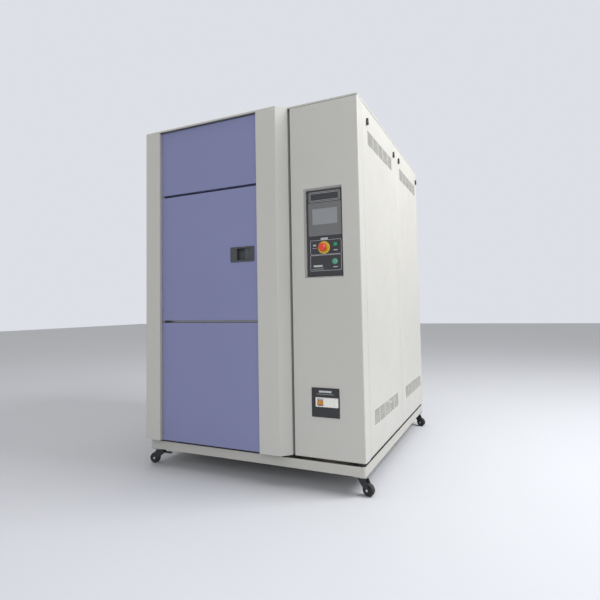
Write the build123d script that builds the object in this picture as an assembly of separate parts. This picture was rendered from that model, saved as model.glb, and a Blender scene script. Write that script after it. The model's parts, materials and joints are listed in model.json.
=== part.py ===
from build123d import *
import os
from math import radians, tan

# A three-zone thermal shock chamber on casters, in millimetres.
# X runs to the right seen from the front, Y to the back and Z up from the floor.
# The origin is on the floor, in the middle of the machine's width and depth.

# Overall sizes
body_width = 1230.0  # over the side panels
body_depth = 1450.0  # from the control column's face to the back
bay_proud = 45.0  # the test bay stands this far in front of the column
overall_height = 1840.0
caster_height = 90.0  # floor to the underside of the plinth
plinth_height = 45.0
plinth_inset = 3.5
plinth_corner = 12.0
plinth_wall = 3.0
skirt_gap = 16.0  # shadow gap between the plinth and the panels
sheet = 2.0  # panel sheet
panel_depth = 23.0  # folded depth of the side and rear panels
lip_height = 8.0  # fold at the edge of the top cover
panel_gap = 2.0  # below that fold

# Clearances
running_gap = 0.05  # a pin in its bore, per side
slide_gap = 0.3  # between faces that move past each other

# Test bay front, from the left edge to the seam beside the control column
left_stile = 105.0
bay_extra = 6.0  # the bay is this much wider than two thirds of the machine
right_stile = 112.0
stile_corner = 20.0  # bend radius of the bay's outer edge
stile_bend = 3.0
column_gap = 12.0  # seam between the bay and the column
panel_recess = 17.0  # the blue panels lie this far behind the stiles
side_clearance = 3.0  # blue panels to the stiles
row_gap = 12.0  # between two blue panels
door_low_share = 0.43  # door's lower edge, of the overall height
door_share = 0.366  # door's height, of the overall height
blue_edge = 2.5  # bend radius of the blue panels' edges

# Insulated chamber block and its three zones
door_depth = 32.5
gasket_thickness = 6.0
gasket_width = 22.0
liner_sheet = 2.0
liner_flange = 34.0
shell_inset = 23.0  # side panel's outer face to the block
shell_short = 17.5  # the block is this much shorter than half the machine
rear_wall = 100.0
test_setback = 170.0  # the test space is this much shallower than the other zones
zone_side = 94.5  # blue panel's edge to a zone
test_height = 400.0
hot_roof = 63.5
cold_floor = 40.0
zone_wall = 39.0  # the block's web below a blue panel's seam to a zone
duct_side = 60.0  # zone's side to a duct
duct_depth = 110.0
duct_margin = 75.0  # ducts to the test space's rear wall
plug_depth = 58.0
plug_clearance = 12.0
plug_edge = 8.0

runner_width = 14.0
runner_sheet = 3.0
shelf_rise = 70.0
shelf_margin = 3.0
shelf_bar = 8.0
shelf_rod = 4.0
shelf_rods = 14

# Test door hinge, latch and handle
door_pivot_inset = 8.0  # from the door's corner to the pin, both ways
door_pin_radius = 4.0
door_pin_reach = 20.0
hinge_collar_radius = 8.0
hinge_plate = 4.0
handle_width = 140.0
handle_height = 77.0
handle_inset = 23.0  # blue panels' right edge to the handle's right edge
handle_rise = 331.8  # door's lower edge to the handle's middle
handle_proud = 3.0
pocket_width = 86.0
pocket_height = 59.0
pocket_depth = 20.0
pocket_wall = 2.0
pocket_offset = 13.0  # pocket's middle, right of the plate's middle
paddle_width = 40.0
paddle_thickness = 5.0
bolt_width = 20.0
bolt_thickness = 9.0
bolt_length = 24.0
bolt_reach = 2.0  # beyond the door's edge at rest
bolt_travel = 8.0

# Control column door and what it carries
column_return = 79.0  # depth of its right side
column_left_return = 40.0
column_corner = 6.0
column_pivot_inset = 7.0
column_pin_radius = 3.0
column_pin_reach = 10.0
column_boss = 12.0
column_tab = 6.0  # half the width of the block that the pin turns in
column_lug_edge = 4.5
side_gap = 4.0  # column door to the side panel
recess_width = 195.0
recess_height = 431.0
recess_depth = 20.0
recess_slope = 20.0  # degrees
recess_x = -9.0  # here and below: right of the column's middle
recess_centre_z = 1203.5
recess_rim = 12.0  # ledge under the control plate
control_sheet = 3.0
screen_width = 168.0
screen_height = 161.0
screen_x = -3.5
screen_z = 1268.5
screen_proud = 6.0
screen_body = 30.0
screen_body_inset = 12.0
screen_corner = 4.0
display_width = 127.0
display_height = 77.0
display_rise = 13.0  # display's middle above the screen's middle
display_recess = 1.2
display_thickness = 3.0
estop_x = -11.5
estop_z = 1132.0
estop_ring_radius = 30.0
estop_ring_thickness = 2.5
estop_barrel_radius = 11.0
estop_barrel_length = 36.0
estop_collar_radius = 14.0
estop_collar_height = 9.0
estop_head_radius = 20.0
estop_head_height = 14.0
estop_stem_radius = 6.0
estop_travel = 5.0
start_x = 46.5
start_z = 1144.0
start_radius = 10.0
power_x = 43.5
power_z = 1064.0
power_radius = 14.0
button_proud = 6.0
button_depth = 22.0
button_travel = 3.0

# Main breaker and its window
breaker_x = -7.0
breaker_z = 408.5
breaker_nose_width = 112.0
breaker_nose_height = 43.5
breaker_body_height = 85.0
breaker_depth = 72.0
bezel_width = 137.0
bezel_height = 135.0
bezel_sheet = 3.0
bezel_x = -13.0
bezel_z = 407.5
bezel_clearance = 3.5
toggle_x = -39.5
toggle_width = 30.0
toggle_radius = 17.0
toggle_bar = 7.0
toggle_tilt = 25.0  # degrees below level, switched off
toggle_slot = 15.0
toggle_pin = 2.0

# Side panels, louvres and quarter-turn latches
side_seam_share = 0.538  # column's face to the side panels' seam, of the body's depth
seam_gap = 3.0
louvre_share = 0.353  # length of a slot field, of the body's depth
louvre_height = 72.0
louvre_rows = 9
louvre_columns = 5
louvre_bridge = 8.0
louvre_slot = 4.0
louvre_drop = 149.0  # panel's top edge to the upper slots
louvre_rise = 166.0  # panel's lower edge to the lower slots
louvre_shift = 15.0  # slots from the middle of a panel, away from the seam
panel_edge = 3.0
corner_gap = 1.0  # rear panel to the side panels
latch_inset = 67.0  # panel's edge to the latch
rear_latch_inset = 35.0
latch_drop = 84.0  # panel's top edge to the latch's shaft
latch_hub_radius = 9.0
latch_tip_radius = 4.0
latch_length = 22.0
latch_thickness = 10.0
latch_shaft_radius = 4.0
latch_cam_overlap = 8.0  # how far the tongue reaches behind the frame's top rail
latch_cam_sheet = 3.0
latch_cam_half = 7.0
latch_cam_gap = 1.0

# Supply cable gland in the rear panel
gland_side = 185.0  # right side of the body to the gland
gland_z = 480.0
gland_radius = 16.0
gland_bore = 9.0
gland_nut = 22.0
gland_recess = 110.0
gland_set = 45.0  # depth of the recess that the gland sits in

# Casters
wheel_radius = 28.0
wheel_width = 24.0
wheel_edge = 5.0
axle_radius = 4.0
axle_head_radius = 7.0
axle_head = 3.0
trail = 31.0
caster_yaw = 16.0  # degrees that the wheels point to the front of straight out
caster_inset_x = 32.0  # side of the body to the swivel axis
front_caster_y = 45.0
rear_caster_y = 71.0
caster_plate_width = 62.0
caster_plate_depth = 84.0
caster_plate_sheet = 4.0
raceway_radius = 24.0
raceway_height = 8.0
kingpin_radius = 5.0
fork_sheet = 3.0
fork_gap = 1.0  # wheel to fork leg
fork_crown = 22.0
fork_toe = 5.0  # fork's leg beyond the pedal's pin
pedal_length = 46.0
pedal_width = 22.0
pedal_sheet = 4.0
pedal_pin_radius = 3.0
pedal_drop = 18.0  # pedal's pin below the crown
pedal_lead = 20.0  # pedal's pin ahead of the swivel axis
pedal_tilt = 6.0  # degrees that the pedal falls outwards

# Frame and refrigeration side
angle_width = 40.0
angle_sheet = 4.0
tee_width = 60.0
rail_width = 50.0
rail_setback = 40.0
frame_gap = 4.0  # between the frame and the plinth's rails
mounting_plate_set = 280.0  # column's face to the mounting plate
mounting_sheet = 3.0
blower_radius = 95.0
blower_width = 48.0
blower_eye_radius = 75.0
blade_inset = 2.0
blower_blades = 8
blower_shaft_radius = 7.0
blower_clearance = 8.0  # blower's back plate to the zone's rear wall
motor_radius = 70.0
motor_length = 150.0
motor_bore_depth = 45.0
damper_shaft_radius = 5.0
damper_sheet = 6.0
damper_bearing = 14.0
compressor_radius = 95.0
compressor_height = 290.0
compressor_dome = 45.0
compressor_foot = 15.0
compressor_margin = 10.0  # foot beyond the pot
compressor_gap = 5.0  # behind the blower motors
compressor_side = 260.5  # right side of the body to the second compressor
condenser_radius = 75.0
condenser_length = 430.0
condenser_gap = 20.0  # behind the compressors
condenser_rise = 20.0
condenser_flange = 12.0
heater_inset = 40.0
heater_set = 140.0  # behind the block's front
heater_depth = 60.0
heater_rise = 60.0
heater_sheet = 6.0
heater_rod = 6.0
heater_rows = 3
coil_side = 30.0  # zone's side to the coil
coil_height = 330.0
coil_gap = 170.0  # in front of the zone's rear wall to the coil
coil_depth = 140.0
coil_tray = 16.0
coil_fins = 17
coil_fin = 6.0
motor_flange = 8.0

# Switchgear inside the control column
mounting_rise = 60.0
mounting_drop = 120.0
mounting_return = 40.0
breaker_set = 10.0  # breaker's case behind the column's face
switch_margin = 30.0
contactor_count = 4
contactor_pitch = 62.0
contactor_width = 50.0
contactor_height = 80.0
contactor_depth = 75.0
contactor_step = 15.0
contactor_z = 1000.0
controller_width = 180.0
controller_height = 120.0
controller_depth = 90.0
controller_z = 1330.0
supply_width = 110.0
supply_z = 1180.0
terminal_z = 640.0
terminal_pitch = 160.0
terminal_length = 240.0
terminal_height = 50.0
terminal_depth = 45.0
terminal_count = 12

# Levels and planes that follow from the sizes above
half_w = body_width / 2
total_depth = body_depth + bay_proud
door_bottom = overall_height * door_low_share
door_height = overall_height * door_share
handle_z = door_bottom + handle_rise
shell_depth = total_depth / 2 - shell_short
zone_depth = shell_depth - rear_wall
test_depth = zone_depth - test_setback
duct_setback = test_depth - duct_margin - duct_depth / 2
side_seam = body_depth * side_seam_share
blue_width = body_width * 2 / 3 + bay_extra - left_stile - right_stile
cavity_width = blue_width - 2 * zone_side
duct_width = cavity_width - 2 * duct_side
heater_length = cavity_width - heater_inset
coil_width = cavity_width - 2 * coil_side
gland_x = half_w - gland_side
louvre_length = body_depth * louvre_share
y_bay = -total_depth / 2
y_front = y_bay + bay_proud
y_back = total_depth / 2
z_floor = caster_height + plinth_wall
z_deck = caster_height + plinth_height
z_skirt = z_deck + skirt_gap
z_frame_top = overall_height - sheet
z_lip = overall_height - lip_height
z_panel_top = z_lip - panel_gap
latch_z = z_panel_top - latch_drop
louvre_top_z = z_panel_top - louvre_drop
louvre_bottom_z = z_skirt + louvre_rise

x_blue0 = -half_w + left_stile
x_blue1 = x_blue0 + blue_width
x_bend = x_blue1 + right_stile
x_seam = x_bend + bay_proud
x_column = x_seam + column_gap
column_middle = (x_column + half_w) / 2
y_panel = y_bay + panel_recess
y_door_back = y_panel + door_depth
y_liner = y_door_back + gasket_thickness
y_seat = y_liner + liner_sheet
y_shell = y_seat + shell_depth
x_shell0 = -half_w + shell_inset
x_shell1 = x_seam - 20.0
x_zone = (x_blue0 + x_blue1) / 2
z_door_top = door_bottom + door_height
z_cold_top = door_bottom - row_gap
z_hot_bottom = z_door_top + row_gap
z_test = door_bottom + door_height / 2
z_test0 = z_test - test_height / 2
z_test1 = z_test + test_height / 2
z_hot0 = z_hot_bottom - row_gap + zone_wall
z_hot1 = z_frame_top - hot_roof
z_cold1 = z_cold_top - zone_wall
z_cold0 = z_skirt + cold_floor
y_duct = y_seat + duct_setback
y_zone_back = y_seat + zone_depth
x_frame = half_w - panel_depth
y_frame = y_back - panel_depth
y_side0 = y_front + column_return + side_gap
y_seam0 = y_front + side_seam
y_control = y_front + recess_depth - control_sheet


def block(x0, x1, y0, y1, z0, z1):
    """A box between six planes."""
    size = Box(x1 - x0, y1 - y0, z1 - z0, align=(Align.MIN, Align.MIN, Align.MIN))
    return Pos(x0, y0, z0) * size


def rod_x(x0, x1, y, z, radius):
    """A round bar along X."""
    return Pos((x0 + x1) / 2, y, z) * Rot(0, 90, 0) * Cylinder(radius, x1 - x0)


def rod_y(x, y0, y1, z, radius):
    """A round bar along Y."""
    return Pos(x, (y0 + y1) / 2, z) * Rot(90, 0, 0) * Cylinder(radius, y1 - y0)


def rod_z(x, y, z0, z1, radius):
    """A round bar along Z."""
    return Pos(x, y, (z0 + z1) / 2) * Cylinder(radius, z1 - z0)


def rounded_block(x0, x1, y0, y1, z0, z1, radius, axis=Axis.Z):
    """A box whose four edges along one axis are rounded."""
    body = block(x0, x1, y0, y1, z0, z1)
    return fillet(body.edges().filter_by(axis), radius)


def edges_at(body, axis, place):
    """The edges of a body that lie in one plane across an axis."""
    return body.edges().filter_by_position(axis, place - 0.01, place + 0.01)


def save(node, *solids):
    """Writes one node, with every solid that belongs to it."""
    shapes = [solid for piece in solids for solid in piece.solids()]
    shape = shapes[0] if len(shapes) == 1 else Compound(shapes)
    export_step(shape, f"parts/{node}.step")


def folded_sheet(points, radii, height, z0):
    """A folded sheet: the points are its outer face in plan, with the metal left of travel."""
    path = FilletPolyline(*points, radius=radii)
    face = make_face(offset(path, amount=sheet, side=Side.LEFT, closed=True).edges())
    return Pos(0, 0, z0) * extrude(face, amount=height)


def plinth():
    """The open-topped base tray with three hat rails that carry the chamber block."""
    x = half_w - plinth_inset
    outer = rounded_block(-x, x, y_front, y_back, caster_height, z_deck, plinth_corner)
    wall = plinth_wall
    inner = block(-x + wall, x - wall, y_front + wall, y_back - wall, z_floor, z_deck)
    inner = fillet(inner.edges().filter_by(Axis.Z), plinth_corner - wall)
    tray = outer - inner
    half = rail_width / 2
    y0, y1 = y_front + rail_setback, y_frame - angle_width - frame_gap
    for rail_x in rail_places():
        rail = block(rail_x - half, rail_x + half, y0, y1, z_floor, z_skirt)
        slot = block(rail_x - half + wall, rail_x + half - wall, y0, y1, z_floor, z_skirt - wall)
        tray += rail - slot
    return tray


def rail_places():
    """Where the plinth's three hat rails run, along X."""
    left = angle_width - x_frame + frame_gap + rail_width / 2
    right = x_shell1 - rail_width
    return left, (left + right) / 2, right


def angle_post(x, y, sx, sy, z0, z1):
    """An angle-iron post with its outer corner at x, y and its legs towards sx and sy."""
    leg_x = block(*sorted((x, x + sx * angle_width)), *sorted((y, y + sy * angle_sheet)), z0, z1)
    leg_y = block(*sorted((x, x + sx * angle_sheet)), *sorted((y, y + sy * angle_width)), z0, z1)
    return leg_x + leg_y


def tee_post(x, y, sx, z0, z1):
    """A tee-iron post whose flat face is at x, centred on y, with its web towards sx."""
    half = tee_width / 2
    flat = block(*sorted((x, x + sx * angle_sheet)), y - half, y + half, z0, z1)
    web = block(
        *sorted((x, x + sx * angle_width)), y - angle_sheet / 2, y + angle_sheet / 2, z0, z1
    )
    return flat + web


def machine_frame():
    """Posts and rails behind the panels, with the control door's two pivot lugs."""
    z0, z1 = z_floor, z_frame_top
    y_mid = y_seam0
    y_col = y_side0 - side_gap / 2
    y_gap = y_shell + angle_sheet
    frame = angle_post(x_frame, y_frame, -1, -1, z0, z1)
    frame += angle_post(-x_frame, y_frame, 1, -1, z0, z1)
    frame += tee_post(x_frame, y_mid, -1, z0, z1)
    frame += tee_post(-x_frame, y_mid, 1, z0, z1)
    frame += tee_post(x_frame, y_col, -1, z0, z1)
    for base in (z0, z1 - angle_width):
        top = base + angle_width
        flat = base if base == z0 else top - angle_sheet
        inner = x_frame - angle_width
        frame += block(inner, x_frame, y_col, y_frame, flat, flat + angle_sheet)
        frame += block(x_frame - angle_sheet, x_frame, y_col, y_frame, base, top)
        frame += block(-x_frame, -inner, y_gap, y_frame, flat, flat + angle_sheet)
        frame += block(-x_frame, angle_sheet - x_frame, y_gap, y_frame, base, top)
        frame += block(-x_frame, x_frame, y_frame - angle_width, y_frame, flat, flat + angle_sheet)
        frame += block(-x_frame, x_frame, y_frame - angle_sheet, y_frame, base, top)
        if base != z0:
            front = y_col - tee_width / 2
            frame += block(x_shell1, x_frame, front, front + angle_width, flat, top)
    lug_x = half_w - column_pivot_inset
    lug_y = y_front + column_return - column_pivot_inset
    lug_gap = panel_gap
    half = angle_width / 2
    for face, sign in ((z_skirt, -1), (z_panel_top, 1)):
        z_a, z_b = sorted((face + sign * lug_gap, face + sign * (lug_gap + angle_sheet)))
        lug = block(
            x_frame - half, lug_x + column_lug_edge, lug_y - half, lug_y + column_lug_edge,
            z_a, z_b,
        )
        pin_a, pin_b = sorted((face + sign * lug_gap, face - sign * column_pin_reach))
        frame += lug + rod_z(lug_x, lug_y, pin_a, pin_b, column_pin_radius)
    for y in latch_places():
        frame -= rod_x(x_frame - angle_sheet, x_frame, y, latch_z, latch_shaft_radius + slide_gap)
    return frame


def chamber_shell():
    """The foam slabs around the hot, test and cold zones, with the two air ducts between them."""
    half = cavity_width / 2
    xa, xb = x_zone - half, x_zone + half
    y_test = y_seat + test_depth
    rear = block(xa, xb, y_zone_back, y_shell, z_skirt, z_frame_top)
    for z in blower_levels():
        rear -= rod_y(x_zone, y_zone_back, y_shell, z, blower_shaft_radius + panel_gap)
    slabs = [
        block(x_shell0, xa, y_seat, y_shell, z_skirt, z_frame_top),
        block(xb, x_shell1, y_seat, y_shell, z_skirt, z_frame_top),
        rear,
        block(xa, xb, y_test, y_zone_back, z_test0, z_test1),
        block(xa, xb, y_seat, y_zone_back, z_skirt, z_cold0),
        block(xa, xb, y_seat, y_zone_back, z_hot1, z_frame_top),
    ]
    half_duct = duct_width / 2
    y0, y1 = y_duct - duct_depth / 2, y_duct + duct_depth / 2
    bore = damper_shaft_radius + running_gap
    for z0, z1 in ((z_test1, z_hot0), (z_cold1, z_test0)):
        slabs.append(block(xa, xb, y_seat, y0, z0, z1))
        slabs.append(block(xa, xb, y1, y_zone_back, z0, z1))
        reach = half_duct + damper_bearing
        shaft = rod_x(x_zone - reach, x_zone + reach, y_duct, (z0 + z1) / 2, bore)
        slabs.append(block(xa, x_zone - half_duct, y0, y1, z0, z1) - shaft)
        slabs.append(block(x_zone + half_duct, xb, y0, y1, z0, z1) - shaft)
    return slabs


def blower_levels():
    """Heights of the hot and the cold blower."""
    return (z_hot0 + z_hot1) / 2, (z_cold0 + z_cold1) / 2


def damper_levels():
    """Heights of the hot and the cold damper."""
    return (z_test1 + z_hot0) / 2, (z_cold1 + z_test0) / 2


def test_liner():
    """The stainless test space: an open box with a front flange, duct openings and runners."""
    half = cavity_width / 2
    x0, x1 = x_zone - half, x_zone + half
    outer = block(x0, x1, y_seat, y_seat + test_depth, z_test0, z_test1)
    s = liner_sheet
    inner = block(x0 + s, x1 - s, y_liner, y_seat + test_depth - s, z_test0 + s, z_test1 - s)
    f = liner_flange
    flange = block(x0 - f, x1 + f, y_liner, y_seat, z_test0 - f, z_test1 + f)
    liner = outer + flange - inner
    half_duct = duct_width / 2
    liner -= block(
        x_zone - half_duct, x_zone + half_duct,
        y_duct - duct_depth / 2, y_duct + duct_depth / 2, z_test0, z_test1,
    )
    z = shelf_level()
    for side, wall in ((1, x0 + s), (-1, x1 - s)):
        a, b = sorted((wall, wall + side * runner_width))
        liner += block(a, b, y_seat + plug_depth, y_seat + test_depth - s, z - runner_sheet, z)
    return liner


def shelf_level():
    """Height of the runners that carry the shelf."""
    return z_test0 + shelf_rise


def specimen_shelf():
    """A stainless bar shelf that lies on the liner's runners."""
    half = cavity_width / 2 - liner_sheet - shelf_margin
    y0 = y_seat + plug_depth + shelf_margin
    y1 = y_seat + test_depth - liner_sheet - shelf_margin
    z = shelf_level()
    frame = block(x_zone - half, x_zone + half, y0, y1, z, z + shelf_bar)
    frame -= block(
        x_zone - half + shelf_bar, x_zone + half - shelf_bar,
        y0 + shelf_bar, y1 - shelf_bar, z, z + shelf_bar,
    )
    pitch = (2 * half - shelf_bar) / (shelf_rods + 1)
    for i in range(shelf_rods):
        x = x_zone - half + shelf_bar / 2 + (i + 1) * pitch
        z_mid = z + shelf_bar / 2
        frame += block(
            x - shelf_rod / 2, x + shelf_rod / 2, y0, y1, z_mid - shelf_rod / 2,
            z_mid + shelf_rod / 2,
        )
    return frame


def left_stile_piece():
    """The bay's left stile: a folded sheet with a wide bend at the outer edge."""
    y_return = y_front + column_return
    points = [
        (x_shell0, y_return),
        (-half_w, y_return),
        (-half_w, y_bay),
        (x_blue0, y_bay),
        (x_blue0, y_seat),
    ]
    return folded_sheet(points, [stile_bend, stile_corner, stile_bend], z_lip - z_skirt, z_skirt)


def right_stile_piece():
    """The bay's right stile, chamfered back to the control column."""
    y_return = y_front + column_return
    points = [
        (x_blue1, y_seat),
        (x_blue1, y_bay),
        (x_bend, y_bay),
        (x_seam, y_front),
        (x_seam, y_return),
        (x_shell1, y_return),
    ]
    radii = [stile_bend, stile_bend * 2, stile_bend, stile_bend]
    stile = folded_sheet(points, radii, z_lip - z_skirt, z_skirt)
    keep = bolt_width / 2 + slide_gap * 4
    slot_y = bolt_middle_y()
    slot_half = bolt_thickness / 2 + slide_gap * 4
    return stile - block(
        x_blue1 - 1, x_blue1 + sheet + 1, slot_y - slot_half, slot_y + slot_half,
        handle_z - keep, handle_z + keep,
    )


def zone_cover(z0, z1):
    """A blue front cover: a pan, open at the back, that closes one zone."""
    x0, x1 = x_blue0 + side_clearance, x_blue1 - side_clearance
    pan = block(x0, x1, y_panel, y_seat, z0, z1)
    edges = edges_at(pan, Axis.Y, y_panel)
    pan = fillet(edges, blue_edge)
    inside = block(x0 + sheet, x1 - sheet, y_panel + sheet, y_seat, z0 + sheet, z1 - sheet)
    return pan - inside


def bolt_middle_y():
    """Depth at which the latch bolt lies in the door."""
    return y_door_back - bolt_thickness / 2 - 2.0


def door_pivot():
    """Plan position of the test door's pins."""
    return x_blue0 + side_clearance + door_pivot_inset, y_panel + door_pivot_inset


def door_hinge_brackets():
    """Two pivot brackets on the left stile's return, each with its collar and pin."""
    x, y = door_pivot()
    brackets = []
    for face, sign in ((door_bottom, -1), (z_door_top, 1)):
        near = face + sign * row_gap / 2
        z_a, z_b = sorted((near, near + sign * hinge_plate))
        plate = block(
            x_blue0, x + hinge_collar_radius, y - hinge_collar_radius,
            y + 2.5 * hinge_collar_radius, z_a, z_b,
        )
        c_a, c_b = sorted((near, face + sign * slide_gap))
        p_a, p_b = sorted((near, face - sign * door_pin_reach))
        plate += rod_z(x, y, c_a, c_b, door_pin_radius + 1.5)
        plate += rod_z(x, y, p_a, p_b, door_pin_radius)
        brackets.append(plate)
    return brackets


def door_box():
    """The test door's outer block, with bent edges at the front."""
    x0, x1 = x_blue0 + side_clearance, x_blue1 - side_clearance
    body = block(x0, x1, y_panel, y_door_back, door_bottom, z_door_top)
    body = fillet(body.edges().filter_by(Axis.Z), blue_edge)
    edges = edges_at(body, Axis.Y, y_panel)
    return fillet(edges, blue_edge * 0.9)


def handle_centre():
    """Middle of the handle plate and of its pocket, along X."""
    x = x_blue1 - handle_inset - handle_width / 2
    return x, x + pocket_offset


def handle_hole(grow):
    """The space that the handle's pocket takes in the door."""
    x = handle_centre()[1]
    half = pocket_width / 2 + pocket_wall + grow
    high = pocket_height / 2 + pocket_wall + grow
    back = y_panel + pocket_depth + pocket_wall + grow
    return block(x - half, x + half, y_panel - 5, back, handle_z - high, handle_z + high)


def bolt_channel():
    """The latch bolt's way through the door's edge."""
    x_edge = x_blue1 - side_clearance
    half_y = bolt_thickness / 2 + slide_gap
    half_z = bolt_width / 2 + slide_gap
    y = bolt_middle_y()
    start = x_edge + bolt_reach - bolt_length - bolt_travel - slide_gap
    return block(start, x_edge + 5, y - half_y, y + half_y, handle_z - half_z, handle_z + half_z)


def door_pins(radius):
    """The space of both hinge pins in the door."""
    x, y = door_pivot()
    reach = door_pin_reach + slide_gap
    low = rod_z(x, y, door_bottom - 5, door_bottom + reach, radius)
    return low + rod_z(x, y, z_door_top - reach, z_door_top + 5, radius)


def test_door_panel():
    """The blue pan of the test door, open at the back."""
    x0, x1 = x_blue0 + side_clearance, x_blue1 - side_clearance
    inside = block(
        x0 + sheet, x1 - sheet, y_panel + sheet, y_door_back,
        door_bottom + sheet, z_door_top - sheet,
    )
    pan = door_box() - inside
    return pan - handle_hole(0) - bolt_channel() - door_pins(door_pin_radius + running_gap)


def test_door_core():
    """The foam that fills the door pan."""
    x0, x1 = x_blue0 + side_clearance, x_blue1 - side_clearance
    core = block(
        x0 + sheet, x1 - sheet, y_panel + sheet, y_door_back,
        door_bottom + sheet, z_door_top - sheet,
    )
    return core - handle_hole(0) - bolt_channel() - door_pins(door_pin_radius + running_gap)


def test_door_plug():
    """The stainless inner pan that closes the test space."""
    half = cavity_width / 2 - liner_sheet - plug_clearance
    high = test_height / 2 - liner_sheet - plug_clearance
    y1 = y_door_back + plug_depth
    plug = block(x_zone - half, x_zone + half, y_door_back, y1, z_test - high, z_test + high)
    plug = fillet(edges_at(plug, Axis.Y, y1), plug_edge)
    s = liner_sheet
    inside = block(
        x_zone - half + s, x_zone + half - s, y_door_back, y1 - s,
        z_test - high + s, z_test + high - s,
    )
    far = edges_at(inside, Axis.Y, y1 - s)
    return plug - fillet(far, plug_edge - s)


def test_door_gasket():
    """The silicone seal on the door's back, around the plug."""
    half = cavity_width / 2 + gasket_width
    high = test_height / 2 + gasket_width
    y1 = y_liner - slide_gap
    ring = rounded_block(
        x_zone - half, x_zone + half, y_door_back, y1, z_test - high, z_test + high,
        gasket_width, Axis.Y,
    )
    return ring - block(
        x_zone - half + gasket_width, x_zone + half - gasket_width, y_door_back, y1,
        z_test - high + gasket_width, z_test + high - gasket_width,
    )


def handle_bezel():
    """The handle's moulded plate with its finger pocket and the paddle's two pin seats."""
    x, x_pocket = handle_centre()
    half, high = handle_width / 2, handle_height / 2
    plate = rounded_block(
        x - half, x + half, y_panel - handle_proud, y_panel, handle_z - high, handle_z + high,
        6.0, Axis.Y,
    )
    y_plate = y_panel - handle_proud
    plate = chamfer(
        edges_at(plate, Axis.Y, y_plate), 1.0
    )
    bezel = plate + handle_hole(0).intersect(
        block(-half_w, half_w, y_panel, y_back, door_bottom, z_door_top)
    )
    px, pz = pocket_width / 2, pocket_height / 2
    bezel -= block(
        x_pocket - px, x_pocket + px, y_panel - 10, y_panel + pocket_depth,
        handle_z - pz, handle_z + pz,
    )
    hx, hy = paddle_hinge()
    reach = pz + pocket_wall
    return bezel - rod_z(hx, hy, handle_z - reach, handle_z + reach, 2.0 + running_gap)


def paddle_hinge():
    """Plan position of the paddle's pin."""
    x = handle_centre()[1] + pocket_width / 2 - 5.0
    return x, y_panel + 4.0


def handle_paddle():
    """The pull paddle: a dished plate on a pin at its right edge."""
    hx, hy = paddle_hinge()
    high = pocket_height / 2 - 1.0
    x0 = hx + 4.0 - paddle_width
    y0 = y_panel
    plate = block(x0, hx + 3.5, y0, y0 + paddle_thickness, handle_z - high, handle_z + high)
    plate = fillet(plate.edges().filter_by(Axis.Z), 2.0)
    lip = block(x0, x0 + 4.0, y0 + 1.0, y0 + 2 * paddle_thickness, handle_z - high, handle_z + high)
    dish = Pos(x0 + paddle_width / 2, y0 - 42.0, handle_z) * Cylinder(44.0, 2 * high - 10.0)
    reach = pocket_height / 2 + pocket_wall
    pin = rod_z(hx, hy, handle_z - reach, handle_z + reach, 2.0)
    return plate + fillet(lip.edges().filter_by(Axis.Z), 1.0) - dish + pin


def latch_bolt():
    """The bevelled bolt that the paddle draws back into the door's edge."""
    x1 = x_blue1 - side_clearance + bolt_reach
    y = bolt_middle_y()
    bolt = block(
        x1 - bolt_length, x1, y - bolt_thickness / 2, y + bolt_thickness / 2,
        handle_z - bolt_width / 2, handle_z + bolt_width / 2,
    )
    tip = bolt.edges().filter_by(Axis.Z).sort_by(Axis.X)[-2:].sort_by(Axis.Y)[-1]
    return chamfer(tip, bolt_thickness * 0.7)


def column_door_panel():
    """The control column's door: a deep pan with a sloped recess and the breaker window."""
    y1 = y_front + column_return
    body = block(x_column, half_w, y_front, y1, z_skirt, z_panel_top)
    corners = body.edges().filter_by(Axis.Z).sort_by(Axis.Y)[:2].sort_by(Axis.X)
    body = fillet(corners[1], column_corner)
    left = body.edges().filter_by(Axis.Z).sort_by(Axis.Y)[:2].sort_by(Axis.X)[0]
    body = fillet(left, stile_bend)
    inside = block(
        x_column + sheet, half_w - sheet, y_front + sheet, y1, z_skirt + sheet, z_panel_top - sheet
    )
    right = inside.edges().filter_by(Axis.Z).sort_by(Axis.Y)[:2].sort_by(Axis.X)[1]
    inside = fillet(right, column_corner - sheet)
    pan = body - inside
    px, py = column_pivot()
    pan -= block(
        x_column - 1, px - column_tab, y_front + column_left_return, y1,
        z_skirt - 1, z_panel_top + 1,
    )
    x, z = column_middle + recess_x, recess_centre_z
    taper = recess_slope
    depth = recess_depth
    outline = Rectangle(recess_width + 2 * sheet, recess_height + 2 * sheet)
    tub = extrude(back_of(outline, x, y_front, z), amount=depth + sheet, taper=taper)
    hollow = extrude(
        back_of(Rectangle(recess_width, recess_height), x, y_front, z), amount=depth, taper=taper
    )
    floor_w = recess_width - 2 * recess_rim - 2 * depth * slope_ratio()
    floor_h = recess_height - 2 * recess_rim - 2 * depth * slope_ratio()
    pan = pan + tub - hollow
    pan -= block(x - floor_w / 2, x + floor_w / 2, y_front, y1, z - floor_h / 2, z + floor_h / 2)
    bx, bz = column_middle + breaker_x, breaker_z
    bw = breaker_nose_width / 2 + 2 * bezel_clearance
    bh = breaker_nose_height / 2 + 2 * bezel_clearance
    pan -= block(bx - bw, bx + bw, y_front - 1, y_front + sheet + 1, bz - bh, bz + bh)
    for face, sign in ((z_skirt, 1), (z_panel_top, -1)):
        z_a, z_b = sorted((face, face + sign * (column_boss + slide_gap)))
        pan += block(
            px - column_tab, half_w - sheet, py - column_tab, py + column_pivot_inset, z_a, z_b
        )
        pan -= rod_z(px, py, z_a - 1, z_b + 1, column_pin_radius + running_gap)
    return pan


def slope_ratio():
    """How far the recess walls lean in, per millimetre of depth."""
    return tan(radians(recess_slope))


def back_of(sketch, x, y, z):
    """Places a flat sketch upright at a point, so that it extrudes towards the back."""
    return Plane(origin=(x, y, z), x_dir=(1, 0, 0), z_dir=(0, 1, 0)) * sketch


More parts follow.
